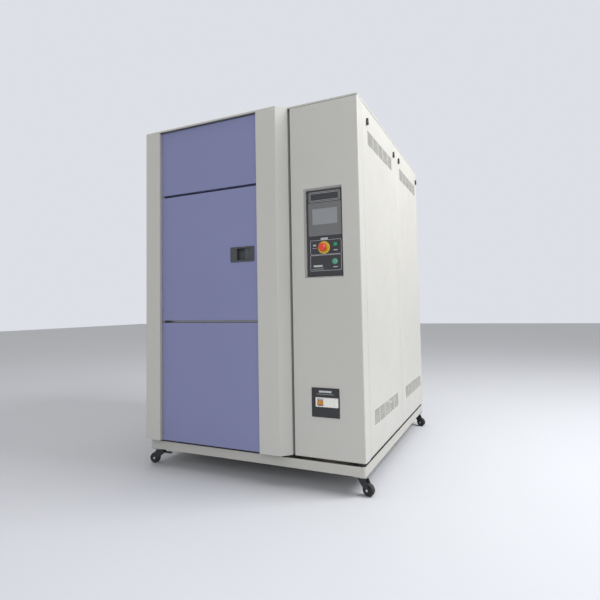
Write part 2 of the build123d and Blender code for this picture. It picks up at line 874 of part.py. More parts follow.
def column_pivot():
    """Plan position of the control door's pins."""
    return half_w - column_pivot_inset, y_front + column_return - column_pivot_inset


def control_plate():
    """The black plate in the recess, cut out for the screen and the push buttons."""
    x, z = column_middle + recess_x, recess_centre_z
    lean = 2 * recess_depth * slope_ratio()
    width = recess_width - lean - 2 * slide_gap
    height = recess_height - lean - 2 * slide_gap
    plate = block(
        x - width / 2, x + width / 2, y_control, y_control + control_sheet,
        z - height / 2, z + height / 2,
    )
    sx, sz = column_middle + screen_x, screen_z
    bw, bh = screen_width / 2 - screen_body_inset, screen_height / 2 - screen_body_inset
    plate -= block(sx - bw, sx + bw, y_front, y_back, sz - bh, sz + bh)
    for cx, cz, radius in (
        (estop_x, estop_z, estop_barrel_radius),
        (start_x, start_z, start_radius + slide_gap),
        (power_x, power_z, power_radius + slide_gap),
    ):
        plate -= rod_y(column_middle + cx, y_front, y_front + 2 * recess_depth, cz, radius)
    return plate


def screen_bezel():
    """The touch screen's housing, with its frame proud of the control plate."""
    x, z = column_middle + screen_x, screen_z
    w, h = screen_width / 2, screen_height / 2
    y0 = y_control - screen_proud
    frame = rounded_block(x - w, x + w, y0, y_control, z - h, z + h, screen_corner, Axis.Y)
    frame = chamfer(edges_at(frame, Axis.Y, y0), 1.5)
    inset = screen_body_inset
    frame += block(
        x - w + inset, x + w - inset, y_control, y_control + screen_body, z - h + inset,
        z + h - inset,
    )
    dz = z + display_rise
    dw, dh = display_width / 2, display_height / 2
    depth = y0 + display_recess + display_thickness
    return frame - block(x - dw, x + dw, y0 - 1, depth, dz - dh, dz + dh)


def display_glass():
    """The display, set a little behind the screen's frame."""
    x, z = column_middle + screen_x, screen_z + display_rise
    y0 = y_control - screen_proud + display_recess
    dw, dh = display_width / 2, display_height / 2
    return block(x - dw, x + dw, y0, y0 + display_thickness, z - dh, z + dh)


def turned(profile, x, y, z):
    """Turns a profile, drawn with its radius along X and its height along Z, to face -Y."""
    solid = revolve(make_face(Polyline(*profile, close=True).edges()), Axis.Z)
    return Pos(x, y, z) * Rot(90, 0, 0) * solid


def profile_xz(points):
    """Radius and height pairs as points in the XZ plane."""
    return [(radius, 0, height) for radius, height in points]


def estop_base():
    """The emergency stop's yellow ring, collar and threaded barrel."""
    bore = estop_stem_radius + running_gap
    points = profile_xz([
        (bore, -estop_barrel_length),
        (estop_barrel_radius, -estop_barrel_length),
        (estop_barrel_radius, 0),
        (estop_ring_radius, 0),
        (estop_ring_radius, estop_ring_thickness - 1),
        (estop_ring_radius - 1, estop_ring_thickness),
        (estop_collar_radius, estop_ring_thickness),
        (estop_collar_radius - 1, estop_ring_thickness + estop_collar_height),
        (bore, estop_ring_thickness + estop_collar_height),
    ])
    return turned(points, column_middle + estop_x, y_control, estop_z)


def estop_button():
    """The red mushroom head on its stem."""
    base = estop_ring_thickness + estop_collar_height + estop_travel + 1.0
    top = base + estop_head_height
    r = estop_head_radius
    points = profile_xz([
        (0, -estop_barrel_length / 2),
        (estop_stem_radius, -estop_barrel_length / 2),
        (estop_stem_radius, base),
        (r - 2, base),
        (r, base + 2),
        (r, base + 5),
        (r * 0.92, top - 4),
        (r * 0.7, top - 1.2),
        (r * 0.35, top),
        (0, top),
    ])
    return turned(points, column_middle + estop_x, y_control, estop_z)


def push_button(x, z, radius):
    """A push button's cap and body, with a dished face."""
    points = profile_xz([
        (0, -button_depth),
        (radius * 0.6, -button_depth),
        (radius * 0.6, -control_sheet - 2),
        (radius, -control_sheet - 2),
        (radius, button_proud - 1),
        (radius - 1, button_proud),
        (radius * 0.75, button_proud),
        (radius * 0.6, button_proud - 0.8),
        (0, button_proud - 1.2),
    ])
    return turned(points, column_middle + x, y_control, z)


def breaker_bezel():
    """The black window plate around the breaker."""
    x, z = column_middle + bezel_x, bezel_z
    w, h = bezel_width / 2, bezel_height / 2
    y0 = y_front - bezel_sheet
    plate = rounded_block(x - w, x + w, y0, y_front, z - h, z + h, 2.0, Axis.Y)
    bx, bz = column_middle + breaker_x, breaker_z
    bw = breaker_nose_width / 2 + bezel_clearance
    bh = breaker_nose_height / 2 + bezel_clearance / 2
    return plate - block(bx - bw, bx + bw, y0 - 1, y_front + 1, bz - bh, bz + bh)


def main_breaker():
    """The main breaker: a narrow nose in the window and a taller body behind it."""
    x, z = column_middle + breaker_x, breaker_z
    w = breaker_nose_width / 2
    nose = block(
        x - w, x + w, y_front - 1.0, y_front + 12, z - breaker_nose_height / 2,
        z + breaker_nose_height / 2,
    )
    body = block(
        x - w, x + w, y_front + breaker_set, y_front + breaker_set + breaker_depth,
        z - breaker_body_height / 2, z + breaker_body_height / 2,
    )
    breaker = nose + body
    tx = column_middle + toggle_x
    half = toggle_width / 2 + slide_gap
    slot_high = toggle_radius
    breaker -= block(
        tx - half, tx + half, y_front - 2, toggle_axis_y() + toggle_slot * 0.6,
        z - slot_high, z + slot_high,
    )
    reach = half + 3.0
    breaker -= rod_x(tx - reach, tx + reach, toggle_axis_y(), z, toggle_pin + running_gap)
    for i in range(1, 6):
        groove_x = x - w + i * breaker_nose_width / 6
        if abs(groove_x - tx) > half + 1:
            breaker -= block(
                groove_x - 0.5, groove_x + 0.5, y_front - 2, y_front, z - w, z + w
            )
    return breaker


def toggle_axis_y():
    """Depth of the breaker lever's pin."""
    return y_front + 8.0


def breaker_toggle():
    """The breaker's lever, switched off and so pointing down."""
    tx = column_middle + toggle_x
    half = toggle_width / 2
    bar = block(tx - half, tx + half, -toggle_radius, 0, -toggle_bar / 2, toggle_bar / 2)
    bar = fillet(bar.edges().filter_by(Axis.X).sort_by(Axis.Y)[:2], 2.0)
    drum = rod_x(tx - half, tx + half, 0, 0, toggle_bar * 0.8)
    pin = rod_x(tx - half - 3, tx + half + 3, 0, 0, toggle_pin)
    lever = Rot(toggle_tilt, 0, 0) * (bar + drum + pin)
    return Pos(0, toggle_axis_y(), breaker_z) * lever


def mounting_plates():
    """The switchgear's back plate and the breaker's bracket, both on the chamber block's side."""
    y = y_front + mounting_plate_set
    s = mounting_sheet
    x1 = x_frame - angle_width - 2 * s
    z0, z1 = z_skirt + mounting_rise, z_frame_top - mounting_drop
    plate = block(x_shell1, x1, y - s, y, z0, z1)
    plate += block(x_shell1, x_shell1 + s, y - mounting_return, y, z0, z1)
    y_b = y_front + breaker_set + breaker_depth
    half = breaker_body_height / 2
    x_b = column_middle + breaker_x + breaker_nose_width / 2
    arm = block(x_shell1, x_b, y_b, y_b + s, breaker_z - half, breaker_z + half)
    arm += block(
        x_shell1, x_shell1 + s, y_b, y_b + mounting_return, breaker_z - half, breaker_z + half
    )
    return plate, arm


def switchgear():
    """Contactors, a controller, a power supply and terminal blocks on the mounting plate."""
    y1 = y_front + mounting_plate_set - mounting_sheet
    x0 = x_shell1 + switch_margin
    units = []
    z0, z1 = contactor_z, contactor_z + contactor_height
    step = contactor_step
    y_face = y1 - contactor_depth
    for i in range(contactor_count):
        x = x0 + i * contactor_pitch
        body = block(x, x + contactor_width, y_face, y1, z0, z1)
        body += block(
            x + step / 2, x + contactor_width - step / 2, y_face - step, y_face,
            z0 + step, z1 - step,
        )
        units.append(body)
    z0, z1 = controller_z, controller_z + controller_height
    y0 = y1 - controller_depth
    units.append(rounded_block(x0, x0 + controller_width, y0, y1, z0, z1, 3.0, Axis.Y))
    units.append(block(x0, x0 + supply_width, y0, y1, supply_z, supply_z + supply_width))
    y0, y_cut = y1 - terminal_depth, y1 - terminal_depth / 2
    for i in range(2):
        z0 = terminal_z - i * terminal_pitch
        z1 = z0 + terminal_height
        rail = block(x0, x0 + terminal_length, y0, y1, z0, z1)
        for k in range(1, terminal_count):
            x = x0 + k * terminal_length / terminal_count
            rail -= block(x - 1, x + 1, y0, y_cut, z0, z1)
        units.append(rail)
    return units


def louvred_panel(y0, y1, shift, side):
    """A removable side panel with a field of slots near its top and its bottom."""
    x_a, x_b = sorted((side * half_w, side * x_frame))
    body = block(x_a, x_b, y0, y1, z_skirt, z_panel_top)
    outer = edges_at(body, Axis.X, side * half_w)
    body = fillet(outer, panel_edge)
    i_a, i_b = sorted((side * (half_w - sheet), side * x_frame))
    body -= block(i_a, i_b, y0 + sheet, y1 - sheet, z_skirt + sheet, z_panel_top - sheet)
    for z in (louvre_bottom_z, louvre_top_z):
        body -= slot_field(side * half_w, (y0 + y1) / 2 + shift, z, True)
    return body


def slot_field(fixed, along, z, on_side):
    """Rows of level slots, centred at a place along a panel and at a height."""
    pitch_a = louvre_length / louvre_columns
    pitch_z = louvre_height / louvre_rows
    half_a = (pitch_a - louvre_bridge) / 2
    half_z = louvre_slot / 2
    reach = 2 * sheet
    slots = []
    for row in range(louvre_rows):
        cz = z - louvre_height / 2 + (row + 0.5) * pitch_z
        for column in range(louvre_columns):
            c = along - louvre_length / 2 + (column + 0.5) * pitch_a
            span = (c - half_a, c + half_a)
            wall = (fixed - reach, fixed + reach)
            if on_side:
                slots.append(block(*wall, *span, cz - half_z, cz + half_z))
            else:
                slots.append(block(*span, *wall, cz - half_z, cz + half_z))
    return Part() + slots


def latch_places():
    """Distances along Y of the four latches on the right side."""
    y_a, y_b = y_side0, y_seam0 - seam_gap / 2
    y_c, y_d = y_seam0 + seam_gap / 2, y_back
    return (y_a + latch_inset, y_b - latch_inset, y_c + latch_inset, y_d - rear_latch_inset)


def latch_holes():
    """The holes for the latch shafts in the right panels."""
    radius = latch_shaft_radius + running_gap
    return [rod_x(x_frame, half_w + 5, y, latch_z, radius) for y in latch_places()]


def panel_latch(y):
    """A teardrop thumb-turn outside, its shaft, and a tongue behind the frame's top rail."""
    x = half_w
    hub = Circle(latch_hub_radius)
    nose = Pos(0, latch_length) * Circle(latch_tip_radius)
    outline = make_hull((hub + nose).edges())
    face = Plane(origin=(x, y, latch_z), x_dir=(0, 1, 0), z_dir=(1, 0, 0)) * outline
    turn = extrude(face, amount=latch_thickness)
    turn = fillet(turn.faces().sort_by(Axis.X)[-1].edges(), 2.0)
    x_cam = x_frame - angle_sheet - latch_cam_gap
    shaft = rod_x(x_cam, x + 1, y, latch_z, latch_shaft_radius)
    half = latch_cam_half
    top = z_frame_top - angle_width + latch_cam_overlap
    cam = block(x_cam - latch_cam_sheet, x_cam, y - half, y + half, latch_z - half, top)
    cam = fillet(cam.edges().filter_by(Axis.X), half * 0.9)
    return turn + shaft + cam


def rear_panel():
    """The back panel, with two slot fields and a hole for the cable gland."""
    x = x_frame - corner_gap
    body = block(-x, x, y_frame, y_back, z_skirt, z_panel_top)
    outer = edges_at(body, Axis.Y, y_back)
    body = fillet(outer, panel_edge)
    body -= block(
        -x + sheet, x - sheet, y_frame, y_back - sheet, z_skirt + sheet, z_panel_top - sheet
    )
    for z in (louvre_bottom_z, louvre_top_z):
        body -= slot_field(y_back, 0.0, z, False)
    gx, gz = gland_x, gland_z
    half = gland_recess / 2
    body += block(gx - half, gx + half, y_back - gland_set, y_back - sheet, gz - half, gz + half)
    body -= block(
        gx - half + sheet, gx + half - sheet, y_back - gland_set + sheet, y_back,
        gz - half + sheet, gz + half - sheet,
    )
    return body - rod_y(gx, y_frame - 60, y_back, gz, gland_radius + slide_gap)


def power_gland():
    """The supply cable's gland: a threaded body, a flange and a six-sided nut."""
    y_wall = y_back - gland_set
    body = rod_y(gland_x, y_wall - 12, y_wall + sheet + 6, gland_z, gland_radius)
    flats = RegularPolygon(gland_nut, 6)
    nut = extrude(back_of(flats, gland_x, y_wall + sheet, gland_z), amount=14)
    cap = rod_y(gland_x, y_wall + sheet + 14, y_wall + sheet + 28, gland_z, gland_radius)
    cap = chamfer(cap.edges().sort_by(Axis.Y)[-1], 4.0)
    lock = extrude(back_of(flats, gland_x, y_wall - 10, gland_z), amount=10)
    bore = rod_y(gland_x, y_wall - 40, y_wall + 60, gland_z, gland_bore)
    return body + nut + cap + lock - bore


def top_cover():
    """The lid over the whole machine, with a narrow fold along its edges."""
    y_line = y_front
    points = [
        (-half_w, y_back),
        (-half_w, y_bay),
        (x_bend, y_bay),
        (x_seam, y_line),
        (half_w, y_line),
        (half_w, y_back),
    ]
    outline = make_face(Polyline(*points, close=True).edges())
    corner = outline.vertices().sort_by(Axis.X)[:2].sort_by(Axis.Y)[0]
    outline = fillet(corner, stile_corner)
    inner = offset(outline, amount=-sheet)
    lid = Pos(0, 0, z_lip) * extrude(outline, amount=lip_height)
    hollow = Pos(0, 0, z_lip) * extrude(inner, amount=lip_height - sheet)
    return lid - hollow


def heater():
    """The hot zone's heater: a frame on the zone's right wall with six sheathed rods."""
    x1 = x_zone + cavity_width / 2
    x0 = x1 - heater_length
    y0 = y_seat + heater_set
    y1 = y0 + heater_depth
    z0, z1 = z_hot0 + heater_rise, z_hot1 - heater_rise / 2
    bank = block(x1 - heater_sheet, x1, y0, y1, z0, z1)
    bank += block(x0, x0 + heater_sheet, y0, y1, z0, z1)
    for row in range(heater_rows):
        z = z0 + (row + 0.5) * (z1 - z0) / heater_rows
        for y in (y0 + heater_depth / 4, y1 - heater_depth / 4):
            bank += rod_x(x0, x1, y, z, heater_rod)
    return bank


def evaporator():
    """The cold zone's finned coil, standing on the zone's floor."""
    x0, x1 = x_zone - coil_width / 2, x_zone + coil_width / 2
    y1 = y_zone_back - coil_gap - blower_width
    y0 = y1 - coil_depth
    z0, z1 = z_cold0, z_cold0 + coil_height
    coil = block(x0, x1, y0, y1, z0, z1)
    half_gap = (coil_width / coil_fins - coil_fin) / 2
    for i in range(coil_fins):
        x = x0 + (i + 0.5) * coil_width / coil_fins
        coil -= block(x - half_gap, x + half_gap, y0, y1 - coil_tray, z0 + coil_tray, z1)
    return coil


def blower_wheel(z):
    """A centrifugal blower wheel on the shaft that reaches its motor."""
    y1 = y_zone_back - blower_clearance
    y0 = y1 - blower_width
    wheel = rod_y(x_zone, y1 - 3, y1, z, blower_radius)
    ring = rod_y(x_zone, y0, y0 + 3, z, blower_radius)
    wheel += ring - rod_y(x_zone, y0, y0 + 3, z, blower_eye_radius)
    inner, outer = blower_eye_radius + blade_inset, blower_radius - blade_inset
    for i in range(blower_blades):
        blade = block(inner, outer, y0 + 1, y1 - 1, -1.5, 1.5)
        wheel += Pos(x_zone, 0, z) * Rot(0, i * 360 / blower_blades, 0) * blade
    wheel += rod_y(x_zone, y1 - 25, y1, z, blower_shaft_radius * 2.4)
    end = y_shell + motor_bore_depth - 2
    return wheel + rod_y(x_zone, y1 - 25, end, z, blower_shaft_radius)


def blower_motors():
    """The two blower motors on the back of the chamber block."""
    motors = []
    for z in blower_levels():
        body = rod_y(x_zone, y_shell + motor_flange, y_shell + motor_length, z, motor_radius)
        body = fillet(body.edges().sort_by(Axis.Y)[-1], 10.0)
        body += block(
            x_zone - motor_radius, x_zone + motor_radius, y_shell, y_shell + motor_flange,
            z - motor_radius, z + motor_radius,
        )
        bore = blower_shaft_radius + running_gap
        motors.append(body - rod_y(x_zone, y_shell, y_shell + motor_bore_depth, z, bore))
    return motors


def damper(z):
    """A butterfly damper across one duct, on a shaft that turns in the block."""
    half = duct_width / 2
    x_a, x_b = x_zone - half - damper_bearing + 1, x_zone + half + damper_bearing - 1
    clearance = 2.0
    blade = block(
        x_zone - half + clearance, x_zone + half - clearance,
        y_duct - duct_depth / 2 + clearance, y_duct + duct_depth / 2 - clearance,
        z - damper_sheet / 2, z + damper_sheet / 2,
    )
    return blade + rod_x(x_a, x_b, y_duct, z, damper_shaft_radius)


def compressor_line():
    """Where the compressors stand along Y."""
    return y_shell + motor_length + compressor_gap + compressor_radius


def compressors():
    """Two hermetic compressors on the plinth's floor, each on a foot plate."""
    units = []
    y = compressor_line()
    half = compressor_radius + compressor_margin
    for x, z0 in ((x_zone, z_skirt), (half_w - compressor_side, z_floor)):
        z1 = z0 + compressor_foot
        foot = rounded_block(x - half, x + half, y - half, y + half, z0, z1, compressor_foot)
        pot = rod_z(x, y, z1, z1 + compressor_height, compressor_radius)
        pot = fillet(pot.edges().sort_by(Axis.Z)[-1], compressor_dome)
        units.append(foot + pot)
    return units


def condenser():
    """The water-cooled condenser: a shell on two saddles on the plinth's rails."""
    left, middle, right = rail_places()
    x0 = (left + middle - condenser_length) / 2
    beyond = compressor_radius + compressor_margin + condenser_gap
    y = compressor_line() + beyond + condenser_radius + condenser_flange
    z = z_skirt + condenser_radius + condenser_rise
    shell = rod_x(x0, x0 + condenser_length, y, z, condenser_radius)
    for x in (x0 + condenser_flange / 2, x0 + condenser_length - 1.5 * condenser_flange):
        shell += rod_x(x, x + condenser_flange, y, z, condenser_radius + condenser_flange)
    half = rail_width / 2
    saddle = condenser_radius * 0.8
    for x in (left, middle):
        shell += block(x - half, x + half, y - saddle, y + saddle, z_skirt, z)
    return shell


def caster_axis(side, rear):
    """Plan position of one caster's swivel axis."""
    y = y_back - rear_caster_y if rear else y_front + front_caster_y
    return side * (half_w - caster_inset_x), y


def caster_turn(side):
    """Degrees from +X to the direction in which the wheel trails."""
    return -caster_yaw if side > 0 else 180.0 + caster_yaw


def caster_plate(side, rear):
    """A caster's top plate with its raceway and the kingpin's hole."""
    x, y = caster_axis(side, rear)
    z1 = caster_height
    z0 = z1 - caster_plate_sheet
    w, d = caster_plate_width / 2, caster_plate_depth / 2
    plate = rounded_block(x - w, x + w, y - d, y + d, z0, z1, 6.0)
    plate += rod_z(x, y, z0 - raceway_height, z0, raceway_radius)
    return plate - rod_z(x, y, z0 - raceway_height, z1 - 1, kingpin_radius + running_gap)


def crown_level():
    """Top of the fork's crown."""
    return caster_height - caster_plate_sheet - raceway_height - slide_gap


def caster_fork(with_pedal):
    """A swivel fork drawn with its trail along X: crown, two legs, kingpin and axle."""
    z1 = crown_level()
    half = wheel_width / 2 + fork_gap
    crown = rod_z(0, 0, z1 - fork_sheet, z1, fork_crown)
    crown += block(0, trail * 0.55, -half - fork_sheet, half + fork_sheet, z1 - fork_sheet, z1)
    lead = pedal_lead + fork_toe if with_pedal else fork_crown * 0.8
    drop = pedal_drop + fork_toe if with_pedal else fork_sheet * 2
    boss = axle_head_radius + 1
    outline = make_face(
        Polyline(
            (-lead, 0, z1), (trail * 0.6, 0, z1), (trail + boss + fork_sheet, 0, wheel_radius + 4),
            (trail + boss, 0, wheel_radius - boss - 1), (trail - boss, 0, wheel_radius - boss - 1),
            (-lead, 0, z1 - drop), close=True,
        ).edges()
    )
    for y in (-half - fork_sheet, half):
        leg = Pos(0, y + fork_sheet, 0) * extrude(outline, amount=fork_sheet, dir=(0, -1, 0))
        crown += leg
    crown += rod_z(0, 0, z1 - fork_sheet, caster_height - 2, kingpin_radius)
    end = half + fork_sheet
    crown += rod_y(trail, -end, end, wheel_radius, axle_radius)
    crown += rod_y(trail, -end - axle_head, -end, wheel_radius, axle_head_radius)
    crown += rod_y(trail, end, end + axle_head, wheel_radius, axle_head_radius)
    if with_pedal:
        z_pin = z1 - pedal_drop
        crown += rod_y(-pedal_lead, -half - 1, half + 1, z_pin, pedal_pin_radius)
    return crown


def caster_wheel():
    """A caster wheel with rounded tread and recessed sides."""
    half = wheel_width / 2
    hub = axle_radius + running_gap
    points = [
        (hub, -half),
        (10, -half),
        (12, -half + 3),
        (wheel_radius - 8, -half + 3),
        (wheel_radius - 6, -half),
        (wheel_radius - wheel_edge, -half),
        (wheel_radius, -half + wheel_edge),
        (wheel_radius, half - wheel_edge),
        (wheel_radius - wheel_edge, half),
        (wheel_radius - 6, half),
        (wheel_radius - 8, half - 3),
        (12, half - 3),
        (10, half),
        (hub, half),
    ]
    return turned(profile_xz(points), trail, 0, wheel_radius)


def brake_pedal():
    """The brake's foot pedal, on a pin at the fork's front."""
    z_pin = crown_level() - pedal_drop
    half = pedal_width / 2
    barrel = rod_y(-pedal_lead, -half, half, z_pin, pedal_pin_radius + 3.5)
    plate = block(-pedal_length, 0, -half, half, -pedal_sheet / 2, pedal_sheet / 2)
    plate = fillet(plate.edges().filter_by(Axis.Z).sort_by(Axis.X)[:2], 6.0)
    tread = Pos(-pedal_lead, 0, z_pin) * Rot(0, -pedal_tilt, 0) * plate
    pedal = barrel + tread
    return pedal - rod_y(-pedal_lead, -half, half, z_pin, pedal_pin_radius + running_gap)


def placed_caster(shape, side, rear):
    """Turns and moves a caster piece to its corner."""
    x, y = caster_axis(side, rear)
    return Pos(x, y, 0) * Rot(0, 0, caster_turn(side)) * shape


os.makedirs("parts", exist_ok=True)
save("base_plinth", plinth())
save("machine_frame", machine_frame())
save("chamber_shell", *chamber_shell())
save("test_liner", test_liner())
save("specimen_shelf", specimen_shelf())
save("bay_left_stile", left_stile_piece())
save("bay_right_stile", right_stile_piece())
save("hot_zone_cover", zone_cover(z_hot_bottom, z_panel_top))
save("cold_zone_cover", zone_cover(z_skirt, z_cold_top))
save("door_hinge_brackets", *door_hinge_brackets())
save("top_cover", top_cover())

save("test_door_panel", test_door_panel())
save("test_door_core", test_door_core())
save("test_door_plug", test_door_plug())
save("test_door_gasket", test_door_gasket())
save("handle_bezel", handle_bezel())
save("handle_paddle", handle_paddle())
save("latch_bolt", latch_bolt())

save("column_door_panel", column_door_panel())
save("control_plate", control_plate())
save("screen_bezel", screen_bezel())
save("display_glass", display_glass())
save("estop_base", estop_base())
save("estop_button", estop_button())
save("start_button", push_button(start_x, start_z, start_radius))
save("power_button", push_button(power_x, power_z, power_radius))
save("breaker_bezel", breaker_bezel())
save("main_breaker", main_breaker())
save("breaker_toggle", breaker_toggle())
save("mounting_plates", *mounting_plates())
save("switchgear", *switchgear())

front_panel = louvred_panel(y_side0, y_seam0 - seam_gap / 2, -louvre_shift, 1)
back_panel = louvred_panel(y_seam0 + seam_gap / 2, y_back, louvre_shift, 1)
for hole in latch_holes():
    front_panel -= hole
    back_panel -= hole
save("right_front_panel", front_panel)
save("right_rear_panel", back_panel)
save(
    "left_side_panels",
    louvred_panel(y_side0, y_seam0 - seam_gap / 2, -louvre_shift, -1),
    louvred_panel(y_seam0 + seam_gap / 2, y_back, louvre_shift, -1),
)
save("rear_panel", rear_panel())
save("power_gland", power_gland())
for number, place in enumerate(latch_places(), start=1):
    save(f"panel_latch_{number}", panel_latch(place))

save("heater", heater())
save("evaporator", evaporator())
save("blower_motors", *blower_motors())
save("compressors", *compressors())
save("condenser", condenser())
for zone, level in zip(("hot", "cold"), blower_levels()):
    save(f"{zone}_blower_wheel", blower_wheel(level))
for zone, level in zip(("hot", "cold"), damper_levels()):
    save(f"{zone}_damper", damper(level))

braked = "front_left"
corners = (
    (braked, -1, False),
    ("front_right", 1, False),
    ("rear_left", -1, True),
    ("rear_right", 1, True),
)
save("caster_plates", *[caster_plate(side, rear) for name, side, rear in corners])
for name, side, rear in corners:
    save(f"{name}_fork", placed_caster(caster_fork(name == braked), side, rear))
    save(f"{name}_wheel", placed_caster(caster_wheel(), side, rear))
    if name == braked:
        save(f"{name}_brake_pedal", placed_caster(brake_pedal(), side, rear))
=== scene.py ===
import json
import math

import bpy
import numpy as np
from bpy.props import FloatProperty, FloatVectorProperty, IntProperty, PointerProperty
from mathutils import Matrix, Vector


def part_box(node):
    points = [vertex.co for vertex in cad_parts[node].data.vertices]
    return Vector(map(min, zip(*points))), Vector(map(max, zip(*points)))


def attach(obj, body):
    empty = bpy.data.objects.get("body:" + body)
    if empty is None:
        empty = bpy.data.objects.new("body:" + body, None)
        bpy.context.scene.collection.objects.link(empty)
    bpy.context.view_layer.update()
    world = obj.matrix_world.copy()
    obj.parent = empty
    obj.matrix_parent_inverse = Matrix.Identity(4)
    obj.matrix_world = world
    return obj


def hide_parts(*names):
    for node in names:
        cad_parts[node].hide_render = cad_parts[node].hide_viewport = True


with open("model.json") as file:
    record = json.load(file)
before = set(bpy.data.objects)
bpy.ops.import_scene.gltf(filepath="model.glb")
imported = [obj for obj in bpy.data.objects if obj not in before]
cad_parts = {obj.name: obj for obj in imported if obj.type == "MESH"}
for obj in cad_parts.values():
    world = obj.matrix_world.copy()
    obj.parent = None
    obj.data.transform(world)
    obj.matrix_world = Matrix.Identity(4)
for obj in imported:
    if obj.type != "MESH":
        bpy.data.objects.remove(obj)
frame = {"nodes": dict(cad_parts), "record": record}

bl_info = {
    "name": "Thermal Shock Chamber",
    "version": (1, 0, 0),
    "blender": (4, 5, 0),
    "location": "View3D > Sidebar > Chamber",
    "description": "Finishes and fine parts of a three-zone thermal shock chamber",
    "category": "Add Mesh",
}

NODES = frame["nodes"]
FINISHES = {m["node"]: m["material_slot"] for m in frame["record"]["subparts"]}

# Sizes and places, in metres

# Local X and Z of a piece that faces the front, and of one that faces the back
FRONT = ((1, 0, 0), (0, -1, 0))
BACK = ((1, 0, 0), (0, 1, 0))

# CAD meshes: corners this close are merged, and an edge over this many degrees is sharp
MERGE_DISTANCE = 0.00001
SHARP_ANGLE = 32

# Emergency stop
STOP_STEM = 0.006  # radius
STOP_HEAD = 0.014  # height of the mushroom head
STOP_CROWN = 0.0042  # rise of its domed top
STOP_CROWN_START = 0.1  # angle at which the dome begins, in radians
STOP_CROWN_SHARE = 0.93  # dome's radius, of the head's
STOP_SHOULDER = (0.94, 0.0046)  # share of the head's radius, and distance below the top
# Inset from the head's radius and distance below its top, from the underside upwards
STOP_SKIRT = (
    (0.002, STOP_HEAD),
    (0.0006, 0.0132),
    (0.0, 0.0118),
    (0.0, 0.0085),
    (0.0006, 0.0062),
)

# Push buttons: heights are measured below the cap's top, and shares are of its radius
CAP_HEIGHT = 0.0108
CAP_BEVEL = 0.0018
CAP_EDGE = 0.0006
CAP_STEM_SHARE = 0.6
RIM_SHARE = 0.8
GROOVE_SHARE = 0.76
LENS_SHARE = 0.74
LENS_EDGE = 0.003
LENS_RISE = 0.0018
LENS_TOP = 0.0012

# Left, right, lower and upper edge of each outline printed on the control plate
PRINTED_OUTLINES = (
    (0.360, 0.517, 1.099, 1.169),
    (0.359, 0.516, 1.022, 1.097),
    (0.357, 0.514, 1.354, 1.402),
    (0.363, 0.508, 1.360, 1.396),
)
PRINT_CORNER = 0.006

# Middle, width and height of each bare label on the control plate
LABEL_PATCHES = (
    (0.432, 1.1745, 0.036, 0.010),
    (0.382, 1.145, 0.016, 0.007),
    (0.382, 1.131, 0.024, 0.0016),
    (0.488, 1.118, 0.020, 0.004),
    (0.486, 1.038, 0.022, 0.004),
    (0.398, 1.045, 0.046, 0.009),
    (0.398, 1.031, 0.060, 0.0016),
)
LABEL_CORNER = 0.0008
LABEL_HEIGHT = 0.0003
LABEL_EDGE = 0.0001

# Distance below the breaker window's upper edge, width and height of its bare labels
BREAKER_LABELS = ((0.017, 0.062, 0.009), (0.029, 0.084, 0.0014))
BREAKER_LABEL_CORNER = 0.0006
BREAKER_LABEL_SINK = 0.0001  # into the window's plate

# Caster wheels
CORNERS = ("front_left", "front_right", "rear_left", "rear_right")
WHEEL_RADIUS = 0.028
WHEEL_HALF = 0.012  # half its width
TREAD_FALL = 0.0016  # from the crown to the shoulder, and from the shoulder to the side
GROOVE_DEPTH = 0.0007
GROOVE_PLACE = 0.42  # middle of a groove, of the half width
GROOVE_HALF = 0.09  # half its width, of the half width
# Radius of each point of a wheel's side and its distance from the middle, of the half width
WHEEL_SIDE = (
    (0.0052, 1.0),
    (0.0095, 1.0),
    (0.0108, 0.86),
    (0.0125, 0.70),
    (0.0188, 0.70),
    (0.0204, 0.80),
    (0.0214, 0.94),
    (0.0222, 1.0),
    (0.0252, 0.98),
)
# Radius and height of each point of a hub cap
HUB_CAP = (
    (0, 0.0),
    (0.0066, 0.0),
    (0.0072, 0.0006),
    (0.0070, 0.0022),
    (0.0056, 0.0031),
    (0.003, 0.0034),
    (0, 0.0034),
)
HUB_FACE = 0.0159  # wheel's middle to the back of a hub cap
HUB_STEPS = 32

# Door seal
SEAL_WIDTH = 0.022
SEAL_BASE = 0.0015  # height at which the bulb begins
SEAL_BULB = 0.006  # half the bulb's width
SEAL_CORNER = 0.0012  # smallest corner radius
SEAL_STEPS = 8
# Distance from the seal's edge and height of each point of a flank
SEAL_FLANK = ((0, 0), (0.0002, 0.0022), (0.0036, 0.0026))

# Specimen shelf
SHELF_RIM = 0.004  # radius of the rod round the edge
SHELF_CORNER = 0.012
SHELF_ROD = 0.002  # radius
SHELF_RODS = 16
SHELF_ROD_LIFT = 0.0019  # rods' middle above the rim's
SHELF_BEARER = 0.0025  # radius
SHELF_BEARERS = 2
SHELF_BEARER_DROP = 0.0012  # bearers' middle below the rim's

# Stainless facings
FACING_HALF = (0.3005, 0.3470)  # half width and half height around the test opening
FACING_GAP = 0.0005  # to the liner or the seal inside it
FACING_SHEET = 0.0015
FACING_BACK = 0.0017  # liner's front to the back of the sheet
DOOR_FACING_INSET = 0.006  # from the edge of the door's foam
DOOR_FACING_SHEET = 0.001
DOOR_FACING_GAP = 0.0001  # to the foam
SHEET_CORNER = 0.003

# Wiring in the control column
DUCT_HEIGHTS = (1.12, 0.96, 0.74, 1.305)  # middles of the ducts
DUCT_HALF = 0.016  # half its height
DUCT_DEPTH = 0.034
DUCT_CORNER = 0.0015
DUCT_EDGE = 0.001
